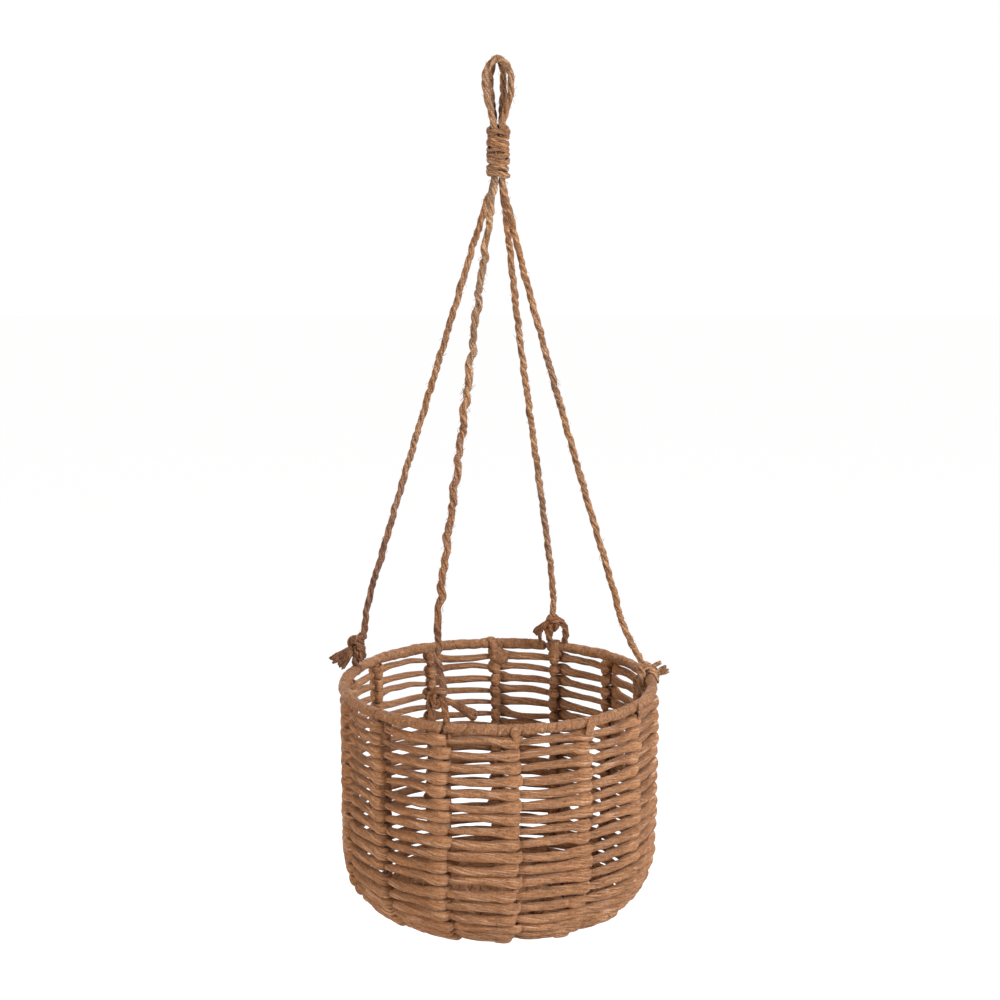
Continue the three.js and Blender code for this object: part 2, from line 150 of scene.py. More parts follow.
def smooth_line(controls, steps, closed=False):
    """A smooth line through rows of controls, whatever their columns hold, with even steps between them."""
    controls = np.asarray(controls, float)
    count = len(controls)
    spans = count if closed else count - 1
    share = np.linspace(0, 1, steps, endpoint=False)[:, None]
    pieces = []
    for span in range(spans):
        if closed:
            before, start, end, after = (controls[(span + shift) % count] for shift in (-1, 0, 1, 2))
        else:
            before, start = controls[max(span - 1, 0)], controls[span]
            end, after = controls[span + 1], controls[min(span + 2, count - 1)]
        pieces.append(0.5 * (
            2 * start + (end - before) * share
            + (2 * before - 5 * start + 4 * end - after) * share ** 2
            + (3 * start - before - 3 * end + after) * share ** 3))
    if not closed:
        pieces.append(controls[-1:])
    return np.concatenate(pieces)


def run_along(line, closed=False):
    """The distance along the line at each of its points, and its whole length."""
    steps = np.linalg.norm(np.diff(line, axis=0), axis=1)
    along = np.concatenate([[0], np.cumsum(steps)])
    whole = along[-1] + (np.linalg.norm(line[0] - line[-1]) if closed else 0)
    return along, whole


def evenly(line, step):
    """The line again, with points a step apart."""
    along, whole = run_along(line)
    count = max(3, int(round(whole / step)) + 1)
    marks = np.linspace(0, whole, count)
    return np.stack([np.interp(marks, along, column) for column in line.T], axis=1)


def drawn_line(controls, steps, apart):
    """A smooth line through the controls, with points that far apart."""
    return evenly(smooth_line(controls, steps), apart)


def all_along(line, direction=(0.0, 0.0, 1.0)):
    """The same direction at every point of the line."""
    return np.tile(direction, (len(line), 1))


def tangents(line, closed=False):
    if closed:
        ahead = np.roll(line, -1, axis=0) - np.roll(line, 1, axis=0)
    else:
        ahead = np.gradient(line, axis=0)
    return ahead / np.maximum(np.linalg.norm(ahead, axis=1, keepdims=True), 1e-12)


def carried_up(line):
    """A direction square to the line at each point, carried along it with no twist of its own."""
    ahead = tangents(line)
    first = np.cross(ahead[0], (0.31, 0.87, 0.38))
    ups = [first / np.linalg.norm(first)]
    for direction in ahead[1:]:
        flat = ups[-1] - direction * np.dot(ups[-1], direction)
        ups.append(flat / np.linalg.norm(flat))
    return np.array(ups)


def wave(rng, along, whole, counts, heights):
    """A smooth wandering value along a closed or open line, the same at both ends."""
    value = np.zeros_like(along)
    for count, height in zip(counts, heights):
        value += height * np.sin(2 * np.pi * count * along / whole + rng.uniform(0, 2 * np.pi))
    return value


def mesh_object(name, corners, faces, places):
    """A smooth mesh that also keeps each corner's place on its rope, for the material to follow."""
    mesh = bpy.data.meshes.new(name)
    mesh.from_pydata(corners.tolist(), [], faces)
    mesh.polygons.foreach_set("use_smooth", [True] * len(mesh.polygons))
    layer = mesh.attributes.new("rope_place", "FLOAT_VECTOR", "POINT")
    layer.data.foreach_set("vector", np.asarray(places, np.float32).ravel())
    mesh.update()
    piece = bpy.data.objects.new(name, mesh)
    bpy.context.collection.objects.link(piece)
    return piece


def ring_faces(count, around, closed):
    """The four-sided faces between a tube's rings of corners."""
    first = np.arange(count if closed else count - 1)[:, None] * around
    after = (first + around) % (count * around)
    here = np.arange(around)[None, :]
    beside = (here + 1) % around
    return np.stack([first + here, after + here, after + beside, first + beside], axis=2).reshape(-1, 4).tolist()


def sections(line, ups, high, wide, around, shape=None, closed=False, turn=None):
    """Corners, faces and rope places of a tube: an oval section at every point of the line."""
    line = np.asarray(line, float)
    count = len(line)
    ahead = tangents(line, closed)
    up = ups - ahead * np.sum(ups * ahead, axis=1, keepdims=True)
    up /= np.linalg.norm(up, axis=1, keepdims=True)
    side = np.cross(ahead, up)
    angle = np.broadcast_to(np.arange(around) * 2 * np.pi / around, (count, around))
    along, whole = run_along(line, closed)
    turned = angle if turn is None else angle + turn[:, None]
    share = np.ones((count, around)) if shape is None else shape(turned, along[:, None], whole)
    tall, broad = (np.broadcast_to(np.asarray(half, float).reshape(-1, 1), (count, 1)) for half in (high, wide))
    reach_up = (tall * share * np.cos(angle))[..., None]
    reach_side = (broad * share * np.sin(angle))[..., None]
    corners = (line[:, None] + reach_up * up[:, None] + reach_side * side[:, None]).reshape(-1, 3)
    radius = float(np.mean(high))
    places = np.stack([radius * np.cos(turned), radius * np.sin(turned),
                       np.broadcast_to(along[:, None], (count, around))], axis=2).reshape(-1, 3)
    faces = ring_faces(count, around, closed)
    if not closed:
        corners = np.concatenate([corners, [line[0], line[-1]]])
        places = np.concatenate([places, [[0, 0, along[0]], [0, 0, along[-1]]]])
        low, top, last = len(corners) - 2, len(corners) - 1, (count - 1) * around
        for here in range(around):
            beside = (here + 1) % around
            faces += [[low, here, beside], [top, last + beside, last + here]]
    return corners, faces, places


def outward(corners, faces):
    """Turns the faces round where they point inwards."""
    a, b, c = corners[np.array([face[:3] for face in faces]).T]
    if np.sum(np.einsum("ij,ij->i", a - corners.mean(axis=0), np.cross(b - a, c - a))) < 0:
        return [face[::-1] for face in faces]
    return faces


def tube_object(name, *args, **options):
    """One piece from one tube."""
    return joined_object(name, [sections(*args, **options)])


def joined_object(name, tubes):
    """One piece from several tubes, each given as corners, faces and places."""
    corners, faces, places, start = [], [], [], 0
    for tube_corners, tube_faces, tube_places in tubes:
        corners.append(tube_corners)
        places.append(tube_places)
        faces += [[corner + start for corner in face] for face in outward(tube_corners, tube_faces)]
        start += len(tube_corners)
    return mesh_object(name, np.concatenate(corners), faces, np.concatenate(places))


def finish_piece(piece, material, slot, *nodes):
    """Gives a piece its material and body, and the frame nodes it stands for."""
    piece.data.materials.clear()
    piece.data.materials.append(material)
    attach(piece, ROOT)
    if nodes:
        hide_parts(*nodes)


# Surfaces of paper and cord

def rounded_ends(line):
    """Shares that draw a tube's first and last rings in."""
    share = np.ones(len(line))
    for place, value in enumerate((0.45, 0.75, 0.93)):
        share[[place, -1 - place]] = np.minimum(share[[place, -1 - place]], value)
    return share


def creased(rng, creases=9, depth=0.12, width=0.15, lap=0.05):
    """The surface of twisted paper: sharp lengthwise folds that wander and fade, and the strip's edges that lap."""
    folds = [(rng.uniform(0, 2 * np.pi), rng.choice((5, 7, 9, 11, 14)), rng.uniform(0, 6.3), rng.uniform(0.4, 1.0))
             for _ in range(creases)]
    swell = [(rng.choice((2, 3)), rng.choice((5, 9, 14)), rng.uniform(0, 6.3)) for _ in range(3)]
    laps = [(rng.uniform(0, 2 * np.pi), rng.choice((5, 8, 11)), rng.uniform(0, 6.3)) for _ in range(2)]

    def shape(angle, along, whole):
        share = np.ones_like(angle * along)
        run = 2 * np.pi * along / whole
        for start, cycles, phase, strength in folds:
            line = start + 0.35 * np.sin(run * cycles + phase) + 0.12 * np.sin(run * (cycles * 3 + 2) + 2 * phase)
            near = (angle - line + np.pi) % (2 * np.pi) - np.pi
            deep = depth * strength * np.clip(0.35 + np.sin(run * (cycles * 4 + 3) + 3 * phase), 0, 1)
            share = share - deep * np.exp(-(near / width) ** 2)
        for start, cycles, phase in laps:
            line = start + 0.6 * np.sin(run * cycles + phase) + 0.2 * np.sin(run * (cycles * 4 + 1) + 2 * phase)
            since = ((angle - line) / (2 * np.pi)) % 1
            share = share + lap * (0.6 + 0.4 * np.sin(run * (cycles * 2 + 3) + phase)) * (np.exp(-since / 0.12) - 0.12)
        for lobes, cycles, phase in swell:
            share = share + 0.022 * np.sin(lobes * angle + run * cycles + phase)
        return share

    return shape


def three_strands(groove=0.38):
    """The section of a three-strand cord: three round lobes, with grooves that deep between them."""
    strand_share = 0.5
    offset = 1 - strand_share

    def shape(angle, along, whole):
        lobe = np.abs((angle * STRANDS / (2 * np.pi)) % 1 - 0.5) * 2
        turn = (1 - lobe) * np.pi / STRANDS
        reach = offset * np.cos(turn) + np.sqrt(np.maximum(strand_share ** 2 - (offset * np.sin(turn)) ** 2, 0))
        return 1 - (1 - reach) * groove * 2

    return shape


# Materials

# The sockets of a colour Mix node: its factor, first and second colour, and its outcome
MIX_SOCKETS = (0, 6, 7)
MIX_COLOUR = 2


def opaque(colour):
    """A grey, or red, green and blue, as a colour with its alpha."""
    red_green_blue = (colour,) * 3 if isinstance(colour, (int, float)) else tuple(colour)[:3]
    return (*red_green_blue, 1.0)


class NodeMaker:
    """Makes the nodes of one material or world, each linked to what it reads."""

    def __init__(self, tree):
        self.nodes, self.links = tree.nodes, tree.links

    def fill(self, node, inputs):
        """Links each input to its socket, or gives it its value."""
        for name, value in inputs.items():
            if isinstance(value, bpy.types.NodeSocket):
                self.links.new(value, node.inputs[name])
            else:
                node.inputs[name].default_value = value

    def add(self, kind, inputs=None, **settings):
        """A node with these settings, its inputs filled."""
        node = self.nodes.new(f"ShaderNode{kind}")
        for name, value in settings.items():
            setattr(node, name, value)
        self.fill(node, inputs or {})
        return node

    def maths(self, operation, *values):
        return self.add("Math", dict(enumerate(values)), operation=operation).outputs[0]

    def ramp(self, source, *stops):
        """Colours or greys along a value."""
        node = self.add("ValToRGB", {"Fac": source})
        elements = node.color_ramp.elements
        while len(elements) < len(stops):
            elements.new(0.5)
        for element, (place, colour) in zip(elements, stops):
            element.position, element.color = place, opaque(colour)
        return node.outputs["Color"]

    def noise(self, vector, scale, detail=3.0, rough=0.55, distortion=0.0):
        return self.add("TexNoise", {
            "Vector": vector, "Scale": scale, "Detail": detail, "Roughness": rough, "Distortion": distortion,
        }).outputs["Fac"]

    def drawn_noise(self, place, scale, *settings):
        """Noise drawn out along the rope, by a scale across it twice and one along it."""
        vector = self.add("Mapping", {"Vector": place, "Scale": scale}).outputs["Vector"]
        return self.noise(vector, 1.0, *settings)

    def mixed(self, factor, first, second, blend="MIX"):
        inputs = dict(zip(MIX_SOCKETS, (factor, first, second)))
        return self.add("Mix", inputs, data_type="RGBA", blend_type=blend).outputs[MIX_COLOUR]

    def layered(self, colour, *layers):
        """The colour multiplied by each layer in turn, by the layer's share."""
        for share, layer in layers:
            colour = self.mixed(share, colour, layer, "MULTIPLY")
        return colour

    def bumped(self, *heights):
        """The normal of a chain of bumps, each a height, a distance in metres and a strength."""
        normal = {}
        for height, distance, strength in heights:
            node = self.add("Bump", {"Height": height, "Distance": distance, "Strength": strength, **normal})
            normal = {"Normal": node.outputs["Normal"]}
        return normal["Normal"]

    def rope_place(self):
        """Where a point is on its rope: across it twice, and along it."""
        return self.add("Attribute", attribute_name="rope_place").outputs["Vector"]

    def object_place(self):
        return self.add("TexCoord").outputs["Object"]


def new_material(name):
    """A material with its node maker and its shader."""
    material = bpy.data.materials.new(name)
    material.use_nodes = True
    make = NodeMaker(material.node_tree)
    return material, make, make.nodes["Principled BSDF"]


def paper_material(name, base, light, dark, folds_scale=(700, 700, 42), hair_scale=(1500, 1500, 130),
                   fibre_scale=(2300, 2300, 480), creasing=1.0, speckle=0.55):
    """Kraft paper: thin sharp creases and fine fibres that run with the strip, and a dry grain, with painted shade in
    the creases and the folds' hollows and painted highlight on the folds' ridges.
    """
    material, make, shader = new_material(name)
    place, objects = make.rope_place(), make.object_place()
    folds = make.drawn_noise(place, folds_scale, 2.0, 0.5, 0.3)
    hairline = make.drawn_noise(place, hair_scale, 2.0, 0.5, 0.2)
    fibres = make.drawn_noise(place, fibre_scale, 4.0, 0.62, 0.2)
    blotch = make.noise(objects, 34)
    grain = make.noise(objects, 1000, 3.0, 0.6)
    patches = make.noise(objects, 360, 3.0, 0.65)
    crease = make.ramp(folds, (0.46, 1), (0.495, 0), (0.505, 0), (0.54, 1))
    hairline_crease = make.ramp(hairline, (0.465, 1), (0.5, 0), (0.535, 1))
    # Painted shade and highlight: darker in the folds' hollows and lighter on their ridges, following the folds' bumps
    fold_light_and_shade = make.ramp(folds, (0.28, dark), (0.42, base), (0.54, base), (0.78, light))
    smooth = make.mixed(creasing, base, fold_light_and_shade)
    # Painted shade: the crease lines darkened towards the dark colour
    crease_shaded_colour = make.mixed(crease, make.mixed(0.62 * creasing, base, dark), smooth)
    colour = make.layered(
        crease_shaded_colour,
        # Painted shade: thin dark lines along the hairline creases
        (0.9 * creasing, make.ramp(hairline_crease, (0.0, (0.72, 0.66, 0.6)), (1.0, 1))),
        (0.45 + 0.25 * creasing, make.ramp(fibres, (0.34, (0.62, 0.55, 0.49)), (0.5, 1), (0.7, 1.1))),
        (1.0, make.ramp(blotch, (0.3, (0.86, 0.83, 0.8)), (0.7, (1.1, 1.11, 1.13)))),
        (speckle, make.ramp(grain, (0.36, (0.62, 0.57, 0.53)), (0.5, 1), (0.64, 1.28))),
        (speckle, make.ramp(patches, (0.36, (0.76, 0.72, 0.69)), (0.5, 1), (0.64, (1.2, 1.21, 1.22)))))
    make.fill(shader, {
        "Base Color": colour,
        "Roughness": make.ramp(fibres, (0.3, 0.92), (0.7, 0.74)),
        "Specular IOR Level": 0.34,
        "Normal": make.bumped(
            (crease, 0.0006 * creasing, 0.9), (folds, 0.0010 * creasing, 0.7), (hairline_crease, 0.0002, 0.8 * creasing),
            (fibres, 0.0003, 0.8), (patches, 0.0008 * speckle, 0.7), (grain, 0.0006 * speckle, 0.8)),
    })
    return material


def jute_material(name, base, light, dark, ageing=None):
    """Jute: yarns and fibres, with painted shade in the furrows between the strands and between the yarns, and a
    little painted highlight on the strands' crowns; the tint along it, if given, is the metres it runs over and its
    stops.
    """
    material, make, shader = new_material(name)
    place, objects = make.rope_place(), make.object_place()
    apart = make.add("SeparateXYZ", {0: place}).outputs
    turn = make.maths("ARCTAN2", apart["Y"], apart["X"])
    lobe = make.maths("COSINE", make.maths("MULTIPLY", turn, STRANDS))
    strand_groove_shade = make.maths("MULTIPLY_ADD", lobe, 0.5, 0.5)
    yarns = make.drawn_noise(place, (850, 850, 95), 3.0, 0.6, 0.5)
    fibres = make.drawn_noise(place, (2600, 2600, 280), 4.0, 0.7, 0.5)
    blotch = make.noise(objects, 75, 3.0, 0.6)
    speck = make.noise(objects, 1100, 2.0, 0.6)
    faded = make.noise(objects, 20, 1.0, 0.5)
    colour = make.layered(
        # Yarn tone: dark between the yarns as painted shade, with pale fibres on the yarns
        make.ramp(yarns, (0.34, dark), (0.46, base), (0.66, light)),
        (0.85, make.ramp(fibres, (0.34, (0.6, 0.54, 0.48)), (0.5, 1), (0.66, (1.35, 1.33, 1.3)))),
        # Painted shade in the grooves between the strands, and a little painted highlight on their crowns
        (0.9, make.ramp(strand_groove_shade, (0.0, (0.6, 0.53, 0.47)), (0.25, (0.93, 0.91, 0.89)), (1.0, 1.05))),
        (1.0, make.ramp(blotch, (0.32, (0.76, 0.74, 0.74)), (0.68, 1.18))),
        (0.9, make.ramp(speck, (0.38, (0.5, 0.45, 0.4)), (0.5, 1), (0.62, 1.45))),
        (1.0, make.ramp(faded, (0.36, (1.06, 0.98, 0.82)), (0.64, (0.94, 0.99, 1.08)))))
    if ageing:
        run, stops = ageing
        tinted = make.ramp(make.maths("MULTIPLY", apart["Z"], 1 / run), *stops)
        colour = make.layered(colour, (1.0, tinted))
    make.fill(shader, {
        "Base Color": colour,
        "Roughness": 0.9,
        "Specular IOR Level": 0.2,
        "Sheen Weight": 0.12,
        "Sheen Roughness": 0.5,
        "Normal": make.bumped((yarns, 0.0007, 0.9), (fibres, 0.0003, 0.8), (speck, 0.0005, 0.8)),
    })
    return material


def wire_material():
    """Dark drawn wire, a little worn, its dark turned brown as painted shade, so that where it shows between the rows
    it passes for the paper's shade.
    """
    material, make, shader = new_material("Dark drawn wire")
    worn = make.noise(make.object_place(), 420, 4.0, 0.6)
    base = tuple(colours().wire)[:3]
    pale = tuple(min(1.0, value * 2.2) for value in base)
    make.fill(shader, {
        "Base Color": make.ramp(worn, (0.42, base), (0.75, pale)),
        "Roughness": make.ramp(worn, (0.3, 0.5), (0.7, 0.75)),
        "Metallic": 0.0,
        "Specular IOR Level": 0.18,
        "Normal": make.bumped((worn, 0.0001, 0.3)),
    })
    return material


def kept_material(name, make, *args, **options):
    """The material of that name, made the first time it is asked for."""
    return bpy.data.materials.get(name) or make(name, *args, **options)


def turned_down(colour, *shares):
    """A colour with its red, green and blue at these shares."""
    return tuple(value * share for value, share in zip(colour, shares)) + (1.0,)


def rope_paper():
    """The paper of the woven rows and the base's coil."""
    paper = colours()
    return kept_material("Twisted kraft paper rope", paper_material,
                         tuple(paper.paper), tuple(paper.paper_ridge_highlight), tuple(paper.paper_crease_shade))


def strip_paper():
    """The flat strip on the rim: darker, less creased and more mottled than the rope."""
    paper = colours()
    base = turned_down(paper.paper, 0.70, 0.70, 0.70)
    # The strip keeps the rope's painted highlight on its fold ridges, turned down
    light = turned_down(paper.paper_ridge_highlight, 0.69, 0.69, 0.69)
    return kept_material("Bound kraft paper strip", paper_material, base, light, tuple(paper.paper_crease_shade),
                         folds_scale=(260, 260, 300), hair_scale=(420, 420, 640), fibre_scale=(1000, 1000, 1500),
                         creasing=0.42, speckle=1.0)


def jute(name, shares=(1, 1, 1), ageing=None):
    """Jute under that name, with its red, green and blue turned down to these shares."""
    shades = (colours().jute, colours().jute_light, colours().jute_dark)
    return kept_material(name, jute_material, *(turned_down(shade, *shares) for shade in shades), ageing=ageing)


def cord_jute():
    return jute("Three-strand jute cord")


# How each cord's colour changes along its first leg, from its knot up: the material's name, the metres it runs over,
# and what the jute's colour is multiplied by at each share of that run
LEG_TINTS = {
    "cord_front_right": ("Jute cord, front leg aged", 0.42, [
        (0.0, (0.56, 0.45, 0.37)), (0.127, (0.61, 0.50, 0.42)), (0.203, (0.80, 0.76, 0.80)),
        (0.465, (0.85, 0.84, 0.92)), (0.541, (0.98, 1.07, 1.23)), (0.71, (0.94, 1.10, 1.38)),
        (0.80, (0.94, 1.03, 1.16)), (0.86, (0.98, 1.14, 1.34)), (0.96, (0.98, 1.14, 1.32)), (1.0, 1)]),
    "cord_left_back": ("Jute cord, left leg aged", 0.155, [
        (0.0, (0.60, 0.52, 0.50)), (0.32, (0.64, 0.56, 0.57)), (0.62, (0.71, 0.68, 0.76)),
        (0.8, (0.85, 0.81, 0.84)), (0.95, 1)]),
}


def leg_tinted_jute(node):
    """The cord's own jute, darker at the foot of its first leg and greyer further up."""
    name, run, stops = LEG_TINTS[node]
    return jute(name, ageing=(run, stops))


def wound_jute():
    """The thinner cord of the whipping, a little darker and redder than the legs."""
    return jute("Whipping cord", (0.9, 0.86, 0.78))


def frayed_jute():
    """The cord where it is knotted: darker, and redder in its folds."""
    return jute("Frayed jute", (0.62, 0.50, 0.37))


# The stake line and the rows' seats

class Seat:
    """Where one row crosses the stakes: its radius and height there, and the way down and out."""

    def __init__(self, start, end, share, pitch):
        self.middle = start + (end - start) * share
        self.down = (end - start) / np.linalg.norm(end - start)
        self.out = np.array([-self.down[1], self.down[0]])
        self.pitch = pitch

    def place(self, angle, out, drop):
        """The point at that angle, so far out of the stakes' line and so far down it."""
        radius = self.middle[0] + self.out[0] * out + self.down[0] * drop
        level = self.middle[1] + self.out[1] * out + self.down[1] * drop
        level = level - sizes().hang_drop + 0 * radius
        return np.stack([radius * np.sin(angle), -radius * np.cos(angle), level], axis=-1)


def stake_bends():
    """The corners of a stake's line: radius and height below the rim."""
    size = sizes()
    bends = [np.array([size.stake_circle, 0.0])]
    for step in range(CORNER_ROWS + 1):
        turn = math.pi / 2 * step / CORNER_ROWS
        bends.append(np.array([
            size.stake_circle - size.corner_reach * (1 - math.cos(turn)),
            -size.wall_depth - size.corner_drop * math.sin(turn)]))
    bends.append(np.array([size.hub_radius + size.stake_wire, -size.wall_depth - size.corner_drop]))
    return bends


def row_seats():
    """The seats of all rows, from the rim down the wall, round the corner and in over the base."""
    bends = stake_bends()
    size = sizes()
    pitch = size.wall_depth / (WALL_ROWS + 0.5)
    seats = [Seat(bends[0], bends[1], number * pitch / size.wall_depth, pitch) for number in range(1, WALL_ROWS + 1)]
    for start, end in zip(bends[1:-2], bends[2:-1]):
        seats.append(Seat(start, end, 0.5, np.linalg.norm(end - start)))
    start, end = bends[-2:]
    for number in range(BASE_ROWS):
        seats.append(Seat(start, end, (number + 0.5) / BASE_ROWS, np.linalg.norm(end - start) / BASE_ROWS))
    return seats


# One stake's wrap, from the bar that arrives over the stake, round behind it and out under itself:
# across and out in millimetres, drop as a share of the pitch, how far the rope has swollen from bar to wrap,
# and the shares that its height and thickness keep there
ARRIVING = [
    (-19.0, 2.2, 0.00, 0.00, 1.06, 1.00), (-12.5, 2.5, -0.01, 0.08, 1.10, 1.00), (-8.0, 3.4, -0.02, 0.50, 1.08, 0.96),
    (-5.0, 4.7, -0.04, 0.94, 1.04, 0.90), (-2.2, 5.4, -0.05, 1.00, 1.00, 0.86), (0.6, 4.6, -0.04, 1.00, 0.98, 0.80),
    (2.7, 1.4, -0.02, 0.92, 0.97, 0.50),
]
BEHIND = [
    (2.0, -2.3, 0.00, 0.85, 1.05, 0.50), (-0.2, -3.3, 0.01, 0.92, 1.10, 0.54), (-2.2, -2.3, 0.03, 0.80, 1.05, 0.50),
    (-3.0, -0.4, 0.05, 0.10, 0.84, 0.44),
]
LEAVING = [
    (-1.6, 1.2, 0.07, 0.00, 0.76, 0.44), (3.4, 1.2, 0.07, 0.00, 0.80, 0.58), (8.6, 1.6, 0.04, 0.00, 0.88, 0.84),
    (18.0, 2.0, 0.01, 0.00, 0.97, 1.00),
]
WRAP = ARRIVING + BEHIND + LEAVING
WRAP_SHARE = 0.97
ROPE_SIDES = 30
ROPE_STEPS = 4
# Metres of rope to one turn of its twist
TWIST = 0.12

# A bar with less room than this between its stakes wanders less, and a wrap with less is pulled closer
BAR_ROOM = 45 * MM
WRAP_ROOM = 32 * MM
# A wrap that stands further out than this, in millimetres, keeps only a share of the rest: the most it keeps,
# how much less with each row below the slim ones, and the least
PROUD = 2.5
PROUD_MOST, PROUD_LESS, PROUD_LEAST = 0.82, 0.06, 0.42
# How much of its room to the next stakes a wrap may take
WRAP_REACH = 0.42


def bar_share(number, rng):
    """The share of the pitch that a bar fills: slim near the rim, fuller lower down."""
    if number < SLIM_ROWS:
        return rng.uniform(0.51, 0.73)
    if number < WALL_ROWS + 2:
        return rng.uniform(0.64, 0.78)
    if number < WALL_ROWS + CORNER_ROWS:
        return rng.uniform(0.70, 0.84)
    return rng.uniform(0.86, 0.94)


def rope_controls(number, seat, angles, rng):
    """Controls of one closed row, begun where a wrap hides: place, half height and half thickness at each."""
    half_pitch, thick, radius = seat.pitch / 2, sizes().rope_thickness / 2, seat.middle[0]
    bars = [bar_share(number, rng) - (0.035 * (1 - math.cos(angle)) if number < SLIM_ROWS else 0) for angle in angles]
    gaps = [(angles[(stake + 1) % STAKES] - angles[stake]) % (2 * math.pi) * radius for stake in range(STAKES)]
    shifts = [1.05 * (1 - bar) * min(1.0, gap / BAR_ROOM) * rng.uniform(-1, 1) for bar, gap in zip(bars, gaps)]
    proud_share = min(PROUD_MOST, max(PROUD_LEAST, PROUD_MOST - PROUD_LESS * (number - SLIM_ROWS)))
    rows = []
    for stake, here in enumerate(angles):
        before, after = gaps[stake - 1], gaps[stake]
        bulge, lift, fat = rng.uniform(-0.5, 0.6), rng.uniform(-0.07, 0.07), rng.uniform(0.95, 1.06)
        slip = rng.uniform(-2.4, 1.8) if number < WALL_ROWS else rng.uniform(-4.5, 2.5)
        turned = rng.uniform(-0.12, 0.12)
        tight = min(1.0, before / WRAP_ROOM, after / WRAP_ROOM)
        for across, out, drop, swollen, high, wide in WRAP:
            if out > PROUD:
                out = PROUD + (out - PROUD) * proud_share
            slid = slip if -9 < across and drop < 0 else 0
            reach = max(-WRAP_REACH * before, min(WRAP_REACH * after, (across + slid) * tight * MM))
            bar, shift = (bars[stake - 1], shifts[stake - 1]) if drop <= 0 else (bars[stake], shifts[stake])
            share = bar + (WRAP_SHARE * fat - bar) * swollen
            away = min(1.0, max(0.0, (abs(across) - 4) / 15))
            level = 2 * drop + lift + (turned if out < -2 else 0) + shift * away
            rows.append((here + reach / radius, (out + (bulge if out > PROUD else 0)) * MM,
                         level * half_pitch, share * high * half_pitch, wide * thick))
        rows.append((here + after / 2 / radius, (1.9 + rng.uniform(-0.4, 0.5)) * MM,
                     (shifts[stake] + 0.04 * rng.uniform(-1, 1)) * half_pitch,
                     bars[stake] * rng.uniform(0.95, 1.06) * half_pitch, rng.uniform(0.95, 1.05) * thick))
    table = np.roll(np.array(rows), -(len(ARRIVING) + len(BEHIND)), axis=0)
    return np.concatenate([seat.place(table[:, 0], table[:, 1], table[:, 2]), table[:, 3:]], axis=1)


def weave_row(number, seat, angles, material):
    """One row of paper rope, woven round every stake as a single closed rope."""
    rng = random.Random(100 + number)
    fine = smooth_line(rope_controls(number, seat, angles, rng), ROPE_STEPS, closed=True)
    line, high, wide = fine[:, :3], fine[:, 3], fine[:, 4]
    angle = np.arctan2(line[:, 0], -line[:, 1])
    inward, down = seat.down
    ups = np.stack([inward * np.sin(angle), -inward * np.cos(angle), np.full_like(angle, down)], axis=1)
    along, whole = run_along(line, closed=True)
    turns = round(whole / TWIST)
    piece = tube_object(f"paper_rope_row_{number + 1:02d}", line, ups, high, wide, ROPE_SIDES, shape=creased(rng),
                        closed=True, turn=-2 * np.pi * turns * along / whole)
    finish_piece(piece, material, "paper_rope", f"woven_row_{number + 1:02d}")


class BASKET_OT_weave_rows(bpy.types.Operator):
    """Weave the rows of paper rope round the stakes"""
    bl_idname = "basket.weave_rows"
    bl_label = "Weave Rows"

    def execute(self, context):
        angles = stake_angles()
        material = rope_paper()
        for number, seat in enumerate(row_seats()):
            weave_row(number, seat, angles, material)
        return {"FINISHED"}


# The wire frame

WIRE_SIDES = 12
RING_STEPS = 180
# A stake stops this short of the ring that it is welded to
WELD_GAP = 0.0003


def swell_weld(piece, wire):
    """The bead of the butt weld where a ring of wire is closed, at its back."""
    bead, swelling = 1.6 * MM, 0.2
    for vertex in piece.data.vertices:
        vertex.select = vertex.co.y > 0 and abs(vertex.co.x) < bead
    bpy.ops.object.mode_set(mode="EDIT")
    bpy.ops.mesh.select_mode(type="VERT")
    bpy.ops.mesh.subdivide(number_cuts=2)
    bpy.ops.transform.shrink_fatten(value=wire * swelling)
    bpy.ops.object.mode_set(mode="OBJECT")


class BASKET_OT_wire_frame(bpy.types.Operator):
    """Bend the hoop, the stakes and the hub ring from dark wire"""
    bl_idname = "basket.wire_frame"
    bl_label = "Wire Frame"

    def execute(self, context):
        size = sizes()
        material = wire_material()
        bends = stake_bends()
        bends[0] = np.array([size.stake_circle, -size.hoop_wire - WELD_GAP])
        for number, angle in enumerate(stake_angles(), 1):
            line = np.array([(bend[0] * math.sin(angle), -bend[0] * math.cos(angle), bend[1] - size.hang_drop)
                             for bend in bends])
            line = drawn_line(line, 6, 4 * MM)
            piece = tube_object(
                f"wire_stake_{number:02d}", line, carried_up(line), size.stake_wire, size.stake_wire, WIRE_SIDES)
            finish_piece(piece, material, "dark_wire", f"stake_{number:02d}")
        for name, node, radius, wire, level in (
                ("wire_hoop", "rim_hoop", size.rim_radius, size.hoop_wire, -size.hang_drop),
                ("wire_hub_ring", "hub_ring", size.hub_radius - WELD_GAP, size.stake_wire,
                 -size.hang_drop - size.wall_depth - size.corner_drop)):
            bpy.ops.object.select_all(action="DESELECT")
            bpy.ops.mesh.primitive_torus_add(
                major_radius=radius, minor_radius=wire, major_segments=RING_STEPS, minor_segments=WIRE_SIDES,
                location=(0, 0, level))
            piece = context.object
            piece.name = piece.data.name = name
            bpy.ops.object.transform_apply(location=True, rotation=True, scale=True)
            swell_weld(piece, wire)
            bpy.ops.object.shade_smooth()
            finish_piece(piece, material, "dark_wire", node)
        return {"FINISHED"}


# The rim's binding

RIM_RINGS = 1700
RIM_SIDES = 28
# The strip's plain section lies this much inside the bound rim's radius, and its laps come up to it
STRIP_SINK = 0.00055
# Seams that the strip shows most, at the front left and the back right:
# degrees from the front, and step, cut and slant in millimetres
MAIN_SEAMS = [(-19.8, 1.1, 3.2, 0.7), (-11.6, 0.8, 2.4, 1.8), (160.5, 0.3, 2.6, 0.2)]
# The strip is wound closer up to this far along the rim, in metres
CLOSE_WINDS = 0.115
DEEP_CUT = 1.5 * MM


